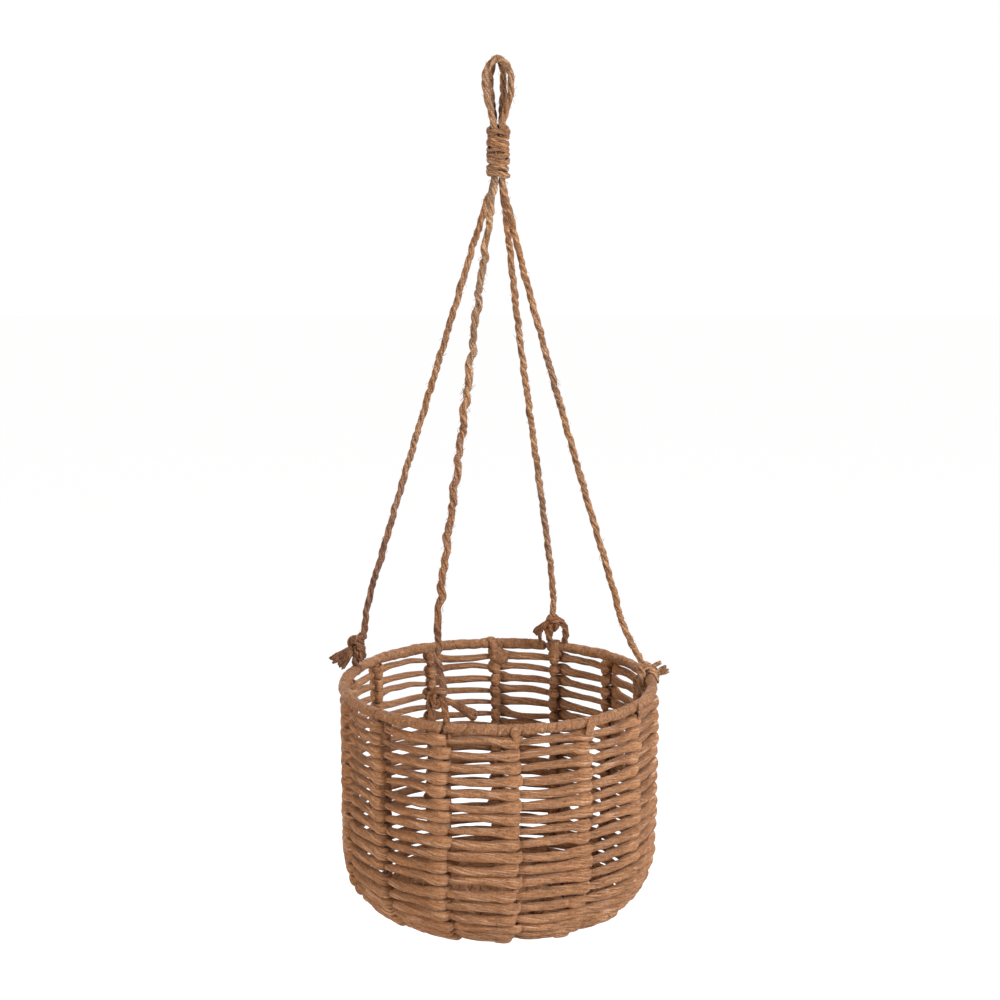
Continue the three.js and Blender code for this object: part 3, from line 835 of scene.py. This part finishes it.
def rim_seams(rng, length):
    """Where one wind of the strip ends over the next: its place along the rim, step, cut and slant, in metres."""
    radius = sizes().rim_radius
    seams = [((math.radians(degrees) * radius) % length, step * MM, cut * MM, slant * MM)
             for degrees, step, cut, slant in MAIN_SEAMS]
    place = -0.018
    while place < length - 0.05:
        tight = place < CLOSE_WINDS
        strong = rng.uniform(0.4, 1.0) if tight else rng.uniform(0.15, 0.55)
        seams.append((place % length, 0.62 * MM * strong, 1.25 * MM * strong, rng.uniform(0.6, 2.6) * MM))
        place += rng.uniform(0.0045, 0.0078) if tight else rng.uniform(0.007, 0.024)
    return sorted(seams)


def rim_profile(rng, ring, around, length):
    """How far the strip's laps and cuts stand over or under the rim's plain section."""
    share = np.zeros_like(ring)
    for place, step, cut, slant in rim_seams(rng, length):
        since = (ring - place + slant * np.cos(around) + length / 2) % length - length / 2
        share += step * np.where(since < 0, np.exp(since / 0.0035), np.exp(-since / 0.0003))
        narrow = 0.0005 if cut < DEEP_CUT else 0.0011
        share -= cut * (0.7 * np.exp(-((since - 0.0004) / narrow) ** 2) + 0.3 * np.exp(-np.abs(since) / 0.0016))
    return share


class BASKET_OT_bind_rim(bpy.types.Operator):
    """Wind the paper strip round the hoop and tie it down at the stakes"""
    bl_idname = "basket.bind_rim"
    bl_label = "Bind Rim"

    def execute(self, context):
        size = sizes()
        rng = random.Random(7)
        length = 2 * math.pi * size.rim_radius
        turn = np.arange(RIM_RINGS)[:, None] * 2 * np.pi / RIM_RINGS
        around = np.arange(RIM_SIDES)[None, :] * 2 * np.pi / RIM_SIDES + 0 * turn
        ring = turn * size.rim_radius + 0 * around
        radius = size.binding_radius - STRIP_SINK + rim_profile(rng, ring, around, length)
        radius -= 0.00018 * (1 + np.cos(turn - 0.6))
        radius += 0.00022 * np.sin(9 * turn + 2 * around) + 0.00022 * np.sin(23 * turn - around)
        radius += 0.00016 * np.sin(37 * turn + 3 * around) + 0.00014 * np.sin(71 * turn + 2 * around)
        level = radius * np.sin(around - np.pi / 2) - size.hang_drop
        out = size.rim_radius + radius * np.cos(around - np.pi / 2)
        corners = np.stack([out * np.sin(turn), -out * np.cos(turn), level], axis=2).reshape(-1, 3)
        places = np.stack([radius * np.cos(around), radius * np.sin(around), ring], axis=2).reshape(-1, 3)
        tubes = [(corners, ring_faces(RIM_RINGS, RIM_SIDES, closed=True), places)]
        for number, stake in enumerate(stake_angles()):
            tubes += straps(stake, number)
        piece = joined_object("paper_rim_binding", tubes)
        finish_piece(piece, strip_paper(), "paper_strip", "rim_binding")
        return {"FINISHED"}


BAND_SIDES = 22
# Lines of the strip at a stake: across, out from the hoop and up, in millimetres
SLEEVE = [(0.0, -2.5, -2.0), (0.0, -2.6, -8.0), (0.0, -2.5, -15.0), (0.0, -2.5, -21.0)]
INSIDE_TURN = [
    (-4.6, 1.6, -5.2), (-4.2, -2.0, -4.9), (-2.6, -5.6, -5.0), (0.2, -6.6, -5.6), (2.9, -5.4, -6.4), (4.2, -2.0, -6.4),
    (4.2, 1.6, -6.0),
]
OUTSIDE_STRAP = [
    (-0.8, 3.6, 3.2), (-0.4, 4.6, 1.4), (0.0, 5.0, -1.0), (0.5, 5.2, -3.6), (1.0, 5.4, -6.4), (1.3, 4.8, -9.0),
]
OVER_STRAP = [
    (-3.0, -6.2, -9.0), (-1.6, -6.2, -5.5), (0.6, -5.4, -0.5), (1.8, -3.6, 3.4), (2.6, -0.4, 4.9), (3.2, 2.6, 4.0),
]
LOOSE_END = [(-6.0, -6.4, -4.0), (-5.4, -6.9, -7.5), (-5.2, -7.0, -12.0), (-5.4, -6.6, -15.5)]
# Front stakes with a strap outside, counted from the first: the strap's lean and its half width in millimetres
FRONT_STRAPS = {0: (1.0, 3.4), 1: (-2.2, 3.4), 2: (-1.2, 3.4)}
# Angles from the front, past which a stake stands at the back right, and at the back
BACK_RIGHT, BACK = 2.5, 2.9


def band(points, stake, lean, shift, half_width, half_thick, seed, up=None):
    """A flat band of strip along its points at a stake."""
    rng = random.Random(seed)
    size = sizes()
    controls = []
    for across, out, level in points:
        angle = stake + (across * lean + shift) * MM / size.rim_radius
        radius = size.rim_radius + out * MM
        controls.append((radius * math.sin(angle), -radius * math.cos(angle), level * MM - size.hang_drop))
    line = drawn_line(controls, 8, 0.8 * MM)
    along, whole = run_along(line)
    ups = all_along(line, up or (math.cos(stake), math.sin(stake), 0.0))
    ends = rounded_ends(line)
    wide = half_width * MM * (1 + wave(rng, along, whole, (1, 2, 3), (0.05, 0.05, 0.05)))
    return sections(line, ups, wide * ends, half_thick * MM * ends, BAND_SIDES, shape=creased(rng, 6, 0.12, 0.35))


def straps(stake, number):
    """The strip's turn round a stake inside, its outer strap down to the first row, and at the back its end."""
    rng = random.Random(300 + number)
    upright = (0.0, 0.0, 1.0)
    bands = [band(INSIDE_TURN, stake, 1.0, rng.uniform(-0.6, 0.6), rng.uniform(2.6, 3.1), 1.5, 310 + number, upright),
             band(SLEEVE, stake, 1.0, 0.0, 2.7, 2.3, 390 + number)]
    from_front = abs((stake + math.pi) % (2 * math.pi) - math.pi)
    if number in FRONT_STRAPS:
        lean, half_width = FRONT_STRAPS[number]
        bands.append(band(OUTSIDE_STRAP, stake, lean, 0.0, half_width, 0.6, 330 + number))
    if BACK_RIGHT < from_front < BACK and math.sin(stake) > 0:
        bands.append(band(OVER_STRAP, stake, 0.4, -1.2, 3.8, 0.8, 350 + number))
    if from_front > BACK:
        bands.append(band(OVER_STRAP, stake, 1.0, 0.8, 3.0, 0.8, 350 + number))
        bands.append(band(LOOSE_END, stake, 1.0, 0.0, 6.0, 1.0, 370 + number))
    return bands


# The base's centre

COIL_HALF_WIDTH = 0.0044
COIL_HALF_HEIGHT = 0.0033
COIL_PITCH = 0.0083
COIL_TWIST = 0.095
COIL_POINTS = 620
COIL_SIDES = 20
COIL_WAVE = 0.0004
# The first turn's centre line lies this far inside the hub ring
COIL_INSET = 0.0051
# The rope widens over the first share of a turn, winds this many turns more, and stays this far from the middle
COIL_START = 0.27
COIL_TURNS = 5.0
COIL_LEAST = 0.0014
# Each turn runs round at one radius, and steps inwards over the last share of itself
JOG_START, JOG_RUN = 0.72, 0.28


class BASKET_OT_coil_base(bpy.types.Operator):
    """Coil paper rope flat inside the hub ring"""
    bl_idname = "basket.coil_base"
    bl_label = "Coil Base Centre"

    def execute(self, context):
        size = sizes()
        rng = random.Random(55)
        low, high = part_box("base_centre_coil")
        level = (low.z + high.z) / 2
        outer = size.hub_radius - COIL_INSET
        turns = np.linspace(-COIL_START, COIL_TURNS, COIL_POINTS)
        steps, since = np.divmod(np.maximum(turns, 0), 1)
        jog = np.clip((since - JOG_START) / JOG_RUN, 0, 1)
        wide = COIL_HALF_WIDTH * np.clip(1 + turns / COIL_START, 0.12, 1)
        inward = COIL_PITCH * (steps + jog * jog * (3 - 2 * jog))
        radius = np.maximum(outer + COIL_HALF_WIDTH - wide - inward, COIL_LEAST)
        turn = 2 * np.pi * turns
        line = np.stack([radius * np.cos(turn), radius * np.sin(turn), np.full_like(turn, level)], axis=1)
        line[:, 2] += COIL_WAVE * np.sin(5 * turn)
        along, _ = run_along(line)
        ends = rounded_ends(line)
        piece = tube_object("paper_base_coil", line, all_along(line), COIL_HALF_HEIGHT * ends, wide * ends, COIL_SIDES,
                            shape=creased(rng), turn=2 * np.pi * along / COIL_TWIST)
        finish_piece(piece, rope_paper(), "paper_rope", "base_centre_coil")
        return {"FINISHED"}


# The cords

CORD_SIDES = 30
CORD_FULLNESS = 1.04
# Where the lay has opened: how much fuller the cord is, how much more it sways, and how sharply that ends
OPENED_FULLNESS = 0.1
OPENED_SWAY = 1.8
OPENING_SHARPNESS = 60
# The sway fades out over this length at each end
SWAY_FADE = 0.02


def cord_line(points):
    """A cord's line through its route's points, which are in millimetres."""
    return drawn_line(np.array(points) * MM, 12, 1.5 * MM)


def hanging_cord(name, points, node, seed, slack):
    """One folded cord of three twisted strands along its route, its lay opened and fuller up to the slack share."""
    size = sizes()
    line = cord_line(points)
    along, whole = run_along(line)
    rng = random.Random(seed)
    turn = 2 * np.pi * along / size.cord_lay + wave(rng, along, whole, (5, 11, 17, 37), (0.6, 0.4, 0.3, 0.25))
    swell = 1 + wave(rng, along, whole, (13, 29, 47, 83), (0.02, 0.025, 0.03, 0.025))
    opened = 1 / (1 + np.exp((along / whole - slack) * OPENING_SHARPNESS))
    fuller = opened * (OPENED_FULLNESS + wave(rng, along, whole, (23, 41), (0.05, 0.05)))
    radius = size.cord_diameter / 2 * (CORD_FULLNESS * swell + fuller)
    sway = np.stack([wave(rng, along, whole, (31, 53, 79), (0.00022, 0.00018, 0.00012)) for _ in range(3)], axis=1)
    fade = np.minimum(1, np.minimum(along, whole - along) / SWAY_FADE)[:, None]
    sway = sway * fade * (1 + OPENED_SWAY * opened[:, None])
    piece = tube_object(
        name, line + sway, carried_up(line), radius, radius, CORD_SIDES, shape=three_strands(), turn=turn)
    finish_piece(piece, leg_tinted_jute(node), "jute_cord", node)


class BASKET_OT_hang_cords(bpy.types.Operator):
    """Lay the two folded jute cords from knot to knot over the hook"""
    bl_idname = "basket.hang_cords"
    bl_label = "Hang Cords"

    def execute(self, context):
        hanging_cord("jute_cord_front_right", FRONT_RIGHT_CORD, "cord_front_right", 21, 0.37)
        hanging_cord("jute_cord_left_back", LEFT_BACK_CORD, "cord_left_back", 22, -0.5)
        return {"FINISHED"}


# The whipping

WHIP_TURNS = 8
WHIP_STEPS = 24
WHIP_TOP = -47.0
WHIP_BOTTOM = -82.0
# Half the square that the four cords' centres make, and the wound cord's line beyond it, in millimetres
CORD_SQUARE = 2.9
WHIP_REACH = 4.1
WHIP_LAY = 0.034
WHIP_HALF_HEIGHT = 2.3 * MM
WHIP_HALF_WIDTH = 1.75 * MM
WHIP_SIDES = 26


def whipping_line():
    """The wound cord's line round the four strands, uneven as a hand winds it, its first and last turns oblique."""
    points = []
    for step in range(WHIP_TURNS * WHIP_STEPS + 1):
        turn = 2 * math.pi * (step + 0.5) / WHIP_STEPS
        share = step / (WHIP_TURNS * WHIP_STEPS)
        slant = -0.9 + 2.9 * max(0, 1 - share * 6) + 1.8 * max(0, share * 6 - 5)
        level = WHIP_BOTTOM + (WHIP_TOP - WHIP_BOTTOM) * share - slant * math.cos(turn)
        level += 0.75 * math.sin(1.7 * turn + 0.6) + 0.35 * math.sin(4.3 * turn)
        reach = WHIP_REACH + 0.45 * math.sin(2.7 * turn + 1) + 0.3 * math.sin(0.61 * turn)
        right, back = (math.copysign(CORD_SQUARE, way) * min(1, abs(way) * 3) + reach * way
                       for way in (math.cos(turn), math.sin(turn)))
        points.append((right, -back, level))
    return np.array(points)


class BASKET_OT_wind_whipping(bpy.types.Operator):
    """Wind the whipping round the four cords below the hanging loop"""
    bl_idname = "basket.wind_whipping"
    bl_label = "Wind Whipping"

    def execute(self, context):
        rng = random.Random(31)
        line = drawn_line(whipping_line() * MM, 3, 0.9 * MM)
        along, whole = run_along(line)
        ends = rounded_ends(line)
        high = WHIP_HALF_HEIGHT * (1 + wave(rng, along, whole, (5, 9, 17, 31), (0.06, 0.07, 0.06, 0.05)))
        wide = WHIP_HALF_WIDTH * (1 + wave(rng, along, whole, (7, 13, 37), (0.06, 0.06, 0.06)))
        piece = tube_object("jute_whipping", line, all_along(line), high * ends, wide * ends, WHIP_SIDES,
                            shape=three_strands(groove=0.26), turn=-2 * np.pi * along / WHIP_LAY)
        finish_piece(piece, wound_jute(), "jute_cord", "whipping_cord")
        return {"FINISHED"}


# The knots

# Yarns that stand this angle apart, one after the other, fill a round brush evenly
GOLDEN_ANGLE = 2.39996
STRAND_SIDES = 24


def strand(points, radius, seed, flare=(1.0, 1.0), fuzz=0.0, lay=0.024):
    """A short length of cord through points in millimetres, its radius times the flare's shares along it."""
    rng = random.Random(seed)
    line = drawn_line(np.array(points) * MM, 10, 0.7 * MM)
    along, whole = run_along(line)
    radii = np.interp(along / whole, np.linspace(0, 1, len(flare)), flare) * radius * MM
    radii = radii * (1 + fuzz * wave(rng, along, whole, (3, 7, 13), (0.5, 0.5, 0.4))) * rounded_ends(line)
    return sections(line, carried_up(line), radii, radii, STRAND_SIDES, shape=three_strands(groove=0.45),
                    turn=2 * np.pi * along / lay)


def around_knot(centre, axis, radius, rise, start, turns, seed, thick):
    """A turn of cord wound round the knot's middle, about the axis."""
    axis = Vector(axis).normalized()
    across = axis.orthogonal().normalized()
    other = axis.cross(across)
    points = []
    count = max(6, int(turns * 12))
    for step in range(count + 1):
        angle = start + 2 * math.pi * turns * step / count
        place = Vector(centre) + (across * math.cos(angle) + other * math.sin(angle)) * radius
        place += axis * (rise * (step / count - 0.5))
        points.append(tuple(place))
    return strand(points, thick, seed)


def tail(root, tip, seed, count=14, start=1.4, end=3.0, thick=0.85, droop=1.2):
    """The opened end of a cord: a thick brush of yarns that part towards their cut ends."""
    rng = random.Random(seed)
    root, tip = Vector(root), Vector(tip)
    ahead = (tip - root).normalized()
    across = ahead.orthogonal().normalized()
    other = ahead.cross(across)
    tubes = []
    for number in range(count):
        angle = GOLDEN_ANGLE * number + rng.uniform(-0.3, 0.3)
        part = (across * math.cos(angle) + other * math.sin(angle)) * math.sqrt((number + 0.5) / count)
        length = rng.uniform(0.88, 1.05)
        points = [tuple(root + part * start * 0.8)]
        for share in (0.2, 0.45, 0.7, 0.9, 1.0):
            width = start + (end - start) * share ** 1.3
            place = root + (tip - root) * share * length + part * width
            place.z -= droop * share ** 2
            place += across * rng.uniform(-0.25, 0.25)
            points.append(tuple(place))
        tubes.append(strand(points, thick, seed * 31 + number, flare=(1.0, 1.1, 1.15, 1.2, 1.0), fuzz=0.15, lay=0.03))
    return tubes


def moved(start, *shifts):
    """Points in millimetres, each given as right, back and up from the start."""
    return [(start[0] + right, start[1] + back, start[2] + up) for right, back, up in shifts]


def knot_front():
    """The front leg's knot, with one long tail to the right."""
    ball = moved(FRONT_RIGHT_CORD[0], (-3.2, -1.0, -1.2))[0]
    tubes = [
        around_knot(ball, (0.3, 1.0, 0.2), 2.9, 2.0, 2.2, 1.15, 401, 2.5),
        around_knot(moved(ball, (1.2, -0.8, 0.8))[0], (0.5, 0.5, 1.0), 2.6, 2.6, 0.4, 1.3, 402, 2.3),
        strand(moved(ball, (-2.6, -1.6, 0.0), (-4.8, -2.8, -3.4), (-4.6, -3.4, -7.6), (-1.8, -3.4, -9.6),
                     (0.6, -2.6, -6.6)), 1.9, 403),
        strand(moved(ball, (-0.6, 1.4, 3.0), (-4.6, 1.0, 1.6), (-7.4, 0.2, -4.0), (-7.4, -1.4, -11.0),
                     (-6.0, -2.6, -17.5), (-5.4, 0.6, -22.5), (-5.2, 3.0, -25.5)), 2.2, 404, fuzz=0.1),
        strand(moved(ball, (1.0, -2.0, -1.0), (2.4, -2.6, -6.0), (3.6, -3.6, -12.0), (4.6, -5.4, -18.5),
                     (4.6, -2.4, -23.5), (4.4, -1.4, -27.5)), 2.8, 405, fuzz=0.12),
    ]
    tubes += tail(*moved(ball, (3.4, -2.6, -3.2), (26.6, -4.8, -15.4)), 406, count=18, start=0.9, end=4.1, thick=0.9)
    return tubes


def knot_left():
    """The left leg's knot, with two short tails."""
    ball = moved(LEFT_BACK_CORD[0], (-6.0, 0.0, -4.0))[0]
    tubes = [
        around_knot(ball, (0.2, 1.0, 0.3), 3.9, 2.6, 0.6, 1.15, 411, 3.2),
        around_knot(moved(ball, (2.6, 0.0, -0.6))[0], (0.9, 0.2, 0.6), 3.6, 2.6, 2.1, 1.2, 412, 3.0),
        strand(moved(ball, (6.0, 0.4, 9.0), (4.4, 0.0, 6.4), (1.6, -1.8, 4.6), (-1.8, -3.4, 0.6)), 2.7, 413),
        strand(moved(ball, (3.4, -3.0, 0.0), (5.4, -3.0, -4.6), (5.2, -2.6, -9.6), (2.8, -1.6, -13.4)),
               3.0, 414, fuzz=0.12),
        strand(moved(ball, (0.8, -1.8, -3.0), (0.4, -1.4, -9.0), (0.0, -0.2, -14.0), (0.6, 1.6, -19.5),
                     (4.0, 4.0, -23.0)), 3.4, 415, fuzz=0.12),
    ]
    tubes += tail(*moved(ball, (-2.8, -2.0, -3.0), (-19.8, -3.2, -12.4)), 416, start=1.5, end=3.0, thick=1.0)
    tubes += tail(*moved(ball, (-2.4, -2.8, -5.2), (-12.4, -4.4, -17.4)), 417, start=1.5, end=3.4, thick=1.0)
    return tubes


def knot_back():
    """The back leg's knot, with one tail to the left."""
    ball = moved(LEFT_BACK_CORD[-1], (0.4, -0.5, 0.6))[0]
    tubes = [
        around_knot(ball, (0.2, 1.0, 0.2), 3.6, 2.4, 0.8, 1.15, 421, 3.1),
        around_knot(moved(ball, (0.0, 0.0, 1.4))[0], (0.2, 0.3, 1.0), 3.8, 2.6, 0.3, 1.3, 422, 2.8),
        around_knot(moved(ball, (-0.4, 0.0, -4.0))[0], (0.3, 1.0, -0.2), 2.6, 1.8, 2.0, 1.1, 427, 2.8),
        strand(moved(ball, (-2.0, -1.0, -2.0), (-3.6, -1.4, -7.0), (-3.2, -0.6, -12.0), (-2.6, 2.4, -17.5),
                     (-2.2, 4.8, -20.6)), 2.9, 423, flare=(1.3, 1.35, 1.1, 0.85, 0.8), fuzz=0.12),
        strand(moved(ball, (2.0, 0.0, 1.0), (6.4, -0.4, -0.2), (9.6, -0.4, -6.0), (10.0, 0.4, -12.0),
                     (9.4, 3.0, -17.4), (8.4, 5.6, -20.6)), 2.9, 424, fuzz=0.12),
        strand(moved(ball, (-6.0, -2.4, -3.0), (-9.2, -2.6, -6.0), (-10.8, -2.0, -10.0), (-10.6, 0.6, -15.5),
                     (-10.4, 3.0, -19.0)), 1.6, 425, fuzz=0.2),
    ]
    tubes += tail(*moved(ball, (-3.4, -2.0, 0.0), (-15.2, -3.0, -8.4)), 426, count=12, start=1.9, end=2.9, thick=0.95)
    return tubes


def knot_right():
    """The right leg's knot, with three tails."""
    end = FRONT_RIGHT_CORD[-1]
    tubes = [
        strand(moved(end, (-1.6, 0.2, 4.6), (0.8, -0.4, -1.6), (2.4, -1.2, -7.0), (2.4, -2.6, -12.0),
                     (2.2, -3.6, -17.0)), 2.6, 431),
        strand(moved(end, (0.0, -1.6, -4.0), (0.8, -4.2, -9.0), (1.2, -7.0, -14.0), (0.8, -9.6, -19.5),
                     (0.2, -11.6, -26.0)), 3.3, 435),
        strand(moved(end, (-0.6, 3.2, -12.0), (0.4, 2.6, -7.4), (4.4, 1.6, -5.4), (9.4, 0.8, -7.4), (12.6, 0.4, -12.0),
                     (13.0, 0.4, -17.0)), 2.7, 432),
        strand(moved(end, (-0.4, -2.6, -13.0), (1.4, -3.6, -8.2), (5.0, -4.0, -6.6), (9.4, -4.4, -8.4),
                     (12.0, -4.6, -13.0), (12.2, -4.6, -17.0)), 2.6, 433),
        around_knot(moved(end, (4.6, -1.4, -6.4))[0], (0.2, 1.0, 0.5), 2.8, 2.2, 1.2, 1.2, 434, 2.4),
    ]
    tubes += tail(*moved(end, (8.0, -0.5, -8.0), (16.2, 0.0, -1.6)), 436, count=6, start=0.8, end=1.5)
    tubes += tail(*moved(end, (8.8, -2.6, -12.0), (21.6, -3.0, -8.4)), 437, start=1.2, end=3.3, thick=1.0, droop=-1.0)
    tubes += tail(*moved(end, (12.6, -3.4, -12.0), (14.4, -3.8, -18.0)), 438, count=4, start=0.7, end=1.2)
    return tubes


class BASKET_OT_tie_knots(bpy.types.Operator):
    """Tie the four cord ends to the rim and open their tails"""
    bl_idname = "basket.tie_knots"
    bl_label = "Tie Knots"

    def execute(self, context):
        for side, tubes, material in (
                ("front", knot_front(), frayed_jute()), ("left", knot_left(), frayed_jute()),
                ("back", knot_back(), frayed_jute()), ("right", knot_right(), cord_jute())):
            finish_piece(joined_object(f"jute_knot_{side}", tubes), material, "jute_fray", f"knot_{side}")
        return {"FINISHED"}


# The fuzz

HAIR_RADII = np.array([0.15, 0.14, 0.12, 0.08]) * MM
HAIR_SHARES = (0, 0.35, 0.7, 1.0)


def hairs(line, radius, count, rng, longest=5.0, spread=(0.01, 0.99)):
    """Loose fibres that stand off a cord's surface, as thin three-sided tubes."""
    ups = carried_up(line)
    ahead = tangents(line)
    tubes = []
    for _ in range(count):
        place = int(rng.uniform(*spread) * (len(line) - 1))
        angle = rng.uniform(0, 2 * math.pi)
        side = np.cross(ahead[place], ups[place])
        out = ups[place] * math.cos(angle) + side * math.sin(angle)
        forward = ahead[place] * rng.choice((-1, 1))
        sweep = np.cross(out, forward) * rng.uniform(-1, 1)
        length = rng.uniform(1.5, longest) * MM
        base = line[place] + out * radius * 0.8
        steps = []
        for share in HAIR_SHARES:
            rise = out * (0.75 * share - 0.25 * share ** 2)
            steps.append(base + (rise + forward * 0.7 * share + sweep * 0.5 * share ** 2) * length)
        tubes.append(sections(steps, all_along(steps, ups[place] + 0.3 * side), HAIR_RADII, HAIR_RADII, 3))
    return tubes


class BASKET_OT_raise_fuzz(bpy.types.Operator):
    """Raise the jute's loose fibres along the cords"""
    bl_idname = "basket.raise_fuzz"
    bl_label = "Raise Fuzz"

    def execute(self, context):
        rng = random.Random(61)
        radius = sizes().cord_diameter / 2
        tubes = []
        for points in (FRONT_RIGHT_CORD, LEFT_BACK_CORD):
            tubes += hairs(cord_line(points), radius, 320, rng)
        # The opened front leg has more of them, and two tufts
        front = cord_line(FRONT_RIGHT_CORD)
        tubes += hairs(front, radius, 150, rng, longest=4.0, spread=(0.05, 0.36))
        tubes += hairs(front, radius * 1.1, 26, rng, longest=6.5, spread=(0.226, 0.236))
        tubes += hairs(front, radius * 1.1, 12, rng, longest=5.0, spread=(0.298, 0.304))
        finish_piece(joined_object("jute_fuzz", tubes), cord_jute(), "jute_fray")
        return {"FINISHED"}


# The stage

CAMERA_LENS = 91.8
CAMERA_SENSOR = 36
CAMERA_PLACE = (0.0014, -1.898, 0.0815)
CAMERA_PITCH = 77.8
FLOOR_SIZE = 12
FLOOR_PLACE = (0, 1.5, -1.25)
FLOOR_GREY = 0.62
FLOOR_GLOW = 1.12
FLOOR_GLOW_SHARE = 0.85
WORLD_LIGHT = (1.02, 0.98, 0.91, 1)
WORLD_STRENGTH = 0.40
LAMP_AIM = Vector((0, 0, -0.5))
# Each lamp's place, side in metres, watts and colour
LAMPS = (
    ("Key light", (1.9, -1.3, 0.4), 1.0, 98, (0.92, 1.03, 1.22)),
    ("Fill light", (-1.8, -1.5, 0.0), 1.4, 46, (0.99, 1.01, 1.06)),
    ("Top light", (0.0, 0.5, 1.5), 1.2, 20, (1.0, 1.0, 1.0)),
    ("Rear light", (-0.5, 2.3, -0.2), 1.8, 80, (0.98, 1.0, 1.05)),
)


def place_camera(scene):
    """The camera at the photograph's viewing angle."""
    camera_data = bpy.data.cameras.new("Camera")
    camera_data.lens = CAMERA_LENS
    camera_data.sensor_width = CAMERA_SENSOR
    camera = bpy.data.objects.new("Camera", camera_data)
    camera.location = CAMERA_PLACE
    camera.rotation_euler = (math.radians(CAMERA_PITCH), 0, 0)
    scene.collection.objects.link(camera)
    scene.camera = camera


def lay_floor():
    """The pale floor below the basket."""
    bpy.ops.object.select_all(action="DESELECT")
    bpy.ops.mesh.primitive_plane_add(size=FLOOR_SIZE, location=FLOOR_PLACE)
    floor = bpy.context.object
    floor.name = floor.data.name = "pale_floor"
    bpy.ops.object.transform_apply(location=True, rotation=True, scale=True)
    floor.data.materials.append(floor_material())


def backdrop_rays(make):
    """One for a ray that looks at the backdrop or mirrors it, and nought for one that lights the basket."""
    path = make.add("LightPath").outputs
    either = make.maths("MAXIMUM", path["Is Camera Ray"], path["Is Glossy Ray"])
    return make.maths("MAXIMUM", either, path["Is Transmission Ray"])


def show_apart(make, share, lit, seen, output):
    """Ends a node tree: what lights the basket, and by that share of each ray what is seen instead."""
    mix = make.add("MixShader", {0: share, 1: lit.outputs[0], 2: seen.outputs[0]})
    make.add(output, {"Surface": mix.outputs[0]})


def light_world(scene):
    """A soft light from all round that looks white to the camera."""
    scene.world = bpy.data.worlds.new("Studio")
    scene.world.use_nodes = True
    make = NodeMaker(scene.world.node_tree)
    make.nodes.clear()
    seen = make.add("Background", {"Color": (1, 1, 1, 1), "Strength": 1.0})
    lit = make.add("Background", {"Color": WORLD_LIGHT, "Strength": WORLD_STRENGTH})
    show_apart(make, backdrop_rays(make), lit, seen, "OutputWorld")


def floor_material():
    """A pale floor that looks white to the camera and keeps the basket's soft shadow."""
    material = bpy.data.materials.new("Pale floor")
    material.use_nodes = True
    make = NodeMaker(material.node_tree)
    make.nodes.clear()
    matt = make.add("BsdfDiffuse", {"Color": opaque(FLOOR_GREY)})
    glow = make.add("Emission", {"Color": (1, 1, 1, 1), "Strength": FLOOR_GLOW})
    share = make.maths("MULTIPLY", backdrop_rays(make), FLOOR_GLOW_SHARE)
    show_apart(make, share, matt, glow, "OutputMaterial")
    return material


def hang_lamp(scene, name, place, side, watts, colour):
    """A square lamp at its place, turned to the basket."""
    lamp_data = bpy.data.lights.new(name, "AREA")
    lamp_data.shape = "SQUARE"
    lamp_data.size = side
    lamp_data.energy = watts
    lamp_data.color = colour
    lamp = bpy.data.objects.new(name, lamp_data)
    lamp.location = place
    lamp.rotation_euler = (LAMP_AIM - Vector(place)).to_track_quat("-Z", "Y").to_euler()
    scene.collection.objects.link(lamp)


class BASKET_OT_set_stage(bpy.types.Operator):
    """Set the camera, the soft lights and the pale floor"""
    bl_idname = "basket.set_stage"
    bl_label = "Set Stage"

    def execute(self, context):
        scene = context.scene
        place_camera(scene)
        lay_floor()
        light_world(scene)
        for lamp in LAMPS:
            hang_lamp(scene, *lamp)
        scene.view_settings.view_transform = "Standard"
        return {"FINISHED"}


# What the panel lists, in the order of making
STEPS = (
    ("basket.set_stage", "Stage"),
    ("basket.hang_cords", "Cords"),
    ("basket.wire_frame", "Wire frame"),
    ("basket.weave_rows", "Rows"),
    ("basket.coil_base", "Base centre"),
    ("basket.bind_rim", "Rim"),
    ("basket.wind_whipping", "Whipping"),
    ("basket.tie_knots", "Knots"),
    ("basket.raise_fuzz", "Fuzz"),
)


class BASKET_PT_panel(bpy.types.Panel):
    """The basket's pieces and sizes"""
    bl_label = "Hanging Basket"
    bl_idname = "BASKET_PT_panel"
    bl_space_type = "VIEW_3D"
    bl_region_type = "UI"
    bl_category = "Basket"

    def draw(self, context):
        for idname, label in STEPS:
            self.layout.operator(idname, text=label)
        for group in (context.scene.basket_sizes, context.scene.basket_colours):
            box = self.layout.box()
            for name in group.__annotations__:
                box.prop(group, name)


CLASSES = (
    BasketSizes, BasketColours, BASKET_OT_set_stage, BASKET_OT_hang_cords, BASKET_OT_wire_frame,
    BASKET_OT_weave_rows, BASKET_OT_coil_base, BASKET_OT_bind_rim, BASKET_OT_wind_whipping,
    BASKET_OT_tie_knots, BASKET_OT_raise_fuzz, BASKET_PT_panel,
)


def register():
    for item in CLASSES:
        bpy.utils.register_class(item)
    bpy.types.Scene.basket_sizes = bpy.props.PointerProperty(type=BasketSizes)
    bpy.types.Scene.basket_colours = bpy.props.PointerProperty(type=BasketColours)


def unregister():
    del bpy.types.Scene.basket_colours
    del bpy.types.Scene.basket_sizes
    for item in reversed(CLASSES):
        bpy.utils.unregister_class(item)


def main():
    register()
    bpy.ops.basket.set_stage()
    bpy.ops.basket.hang_cords()
    bpy.ops.basket.wire_frame()
    bpy.ops.basket.weave_rows()
    bpy.ops.basket.coil_base()
    bpy.ops.basket.bind_rim()
    bpy.ops.basket.wind_whipping()
    bpy.ops.basket.tie_knots()
    bpy.ops.basket.raise_fuzz()


if __name__ == "__main__":
    main()
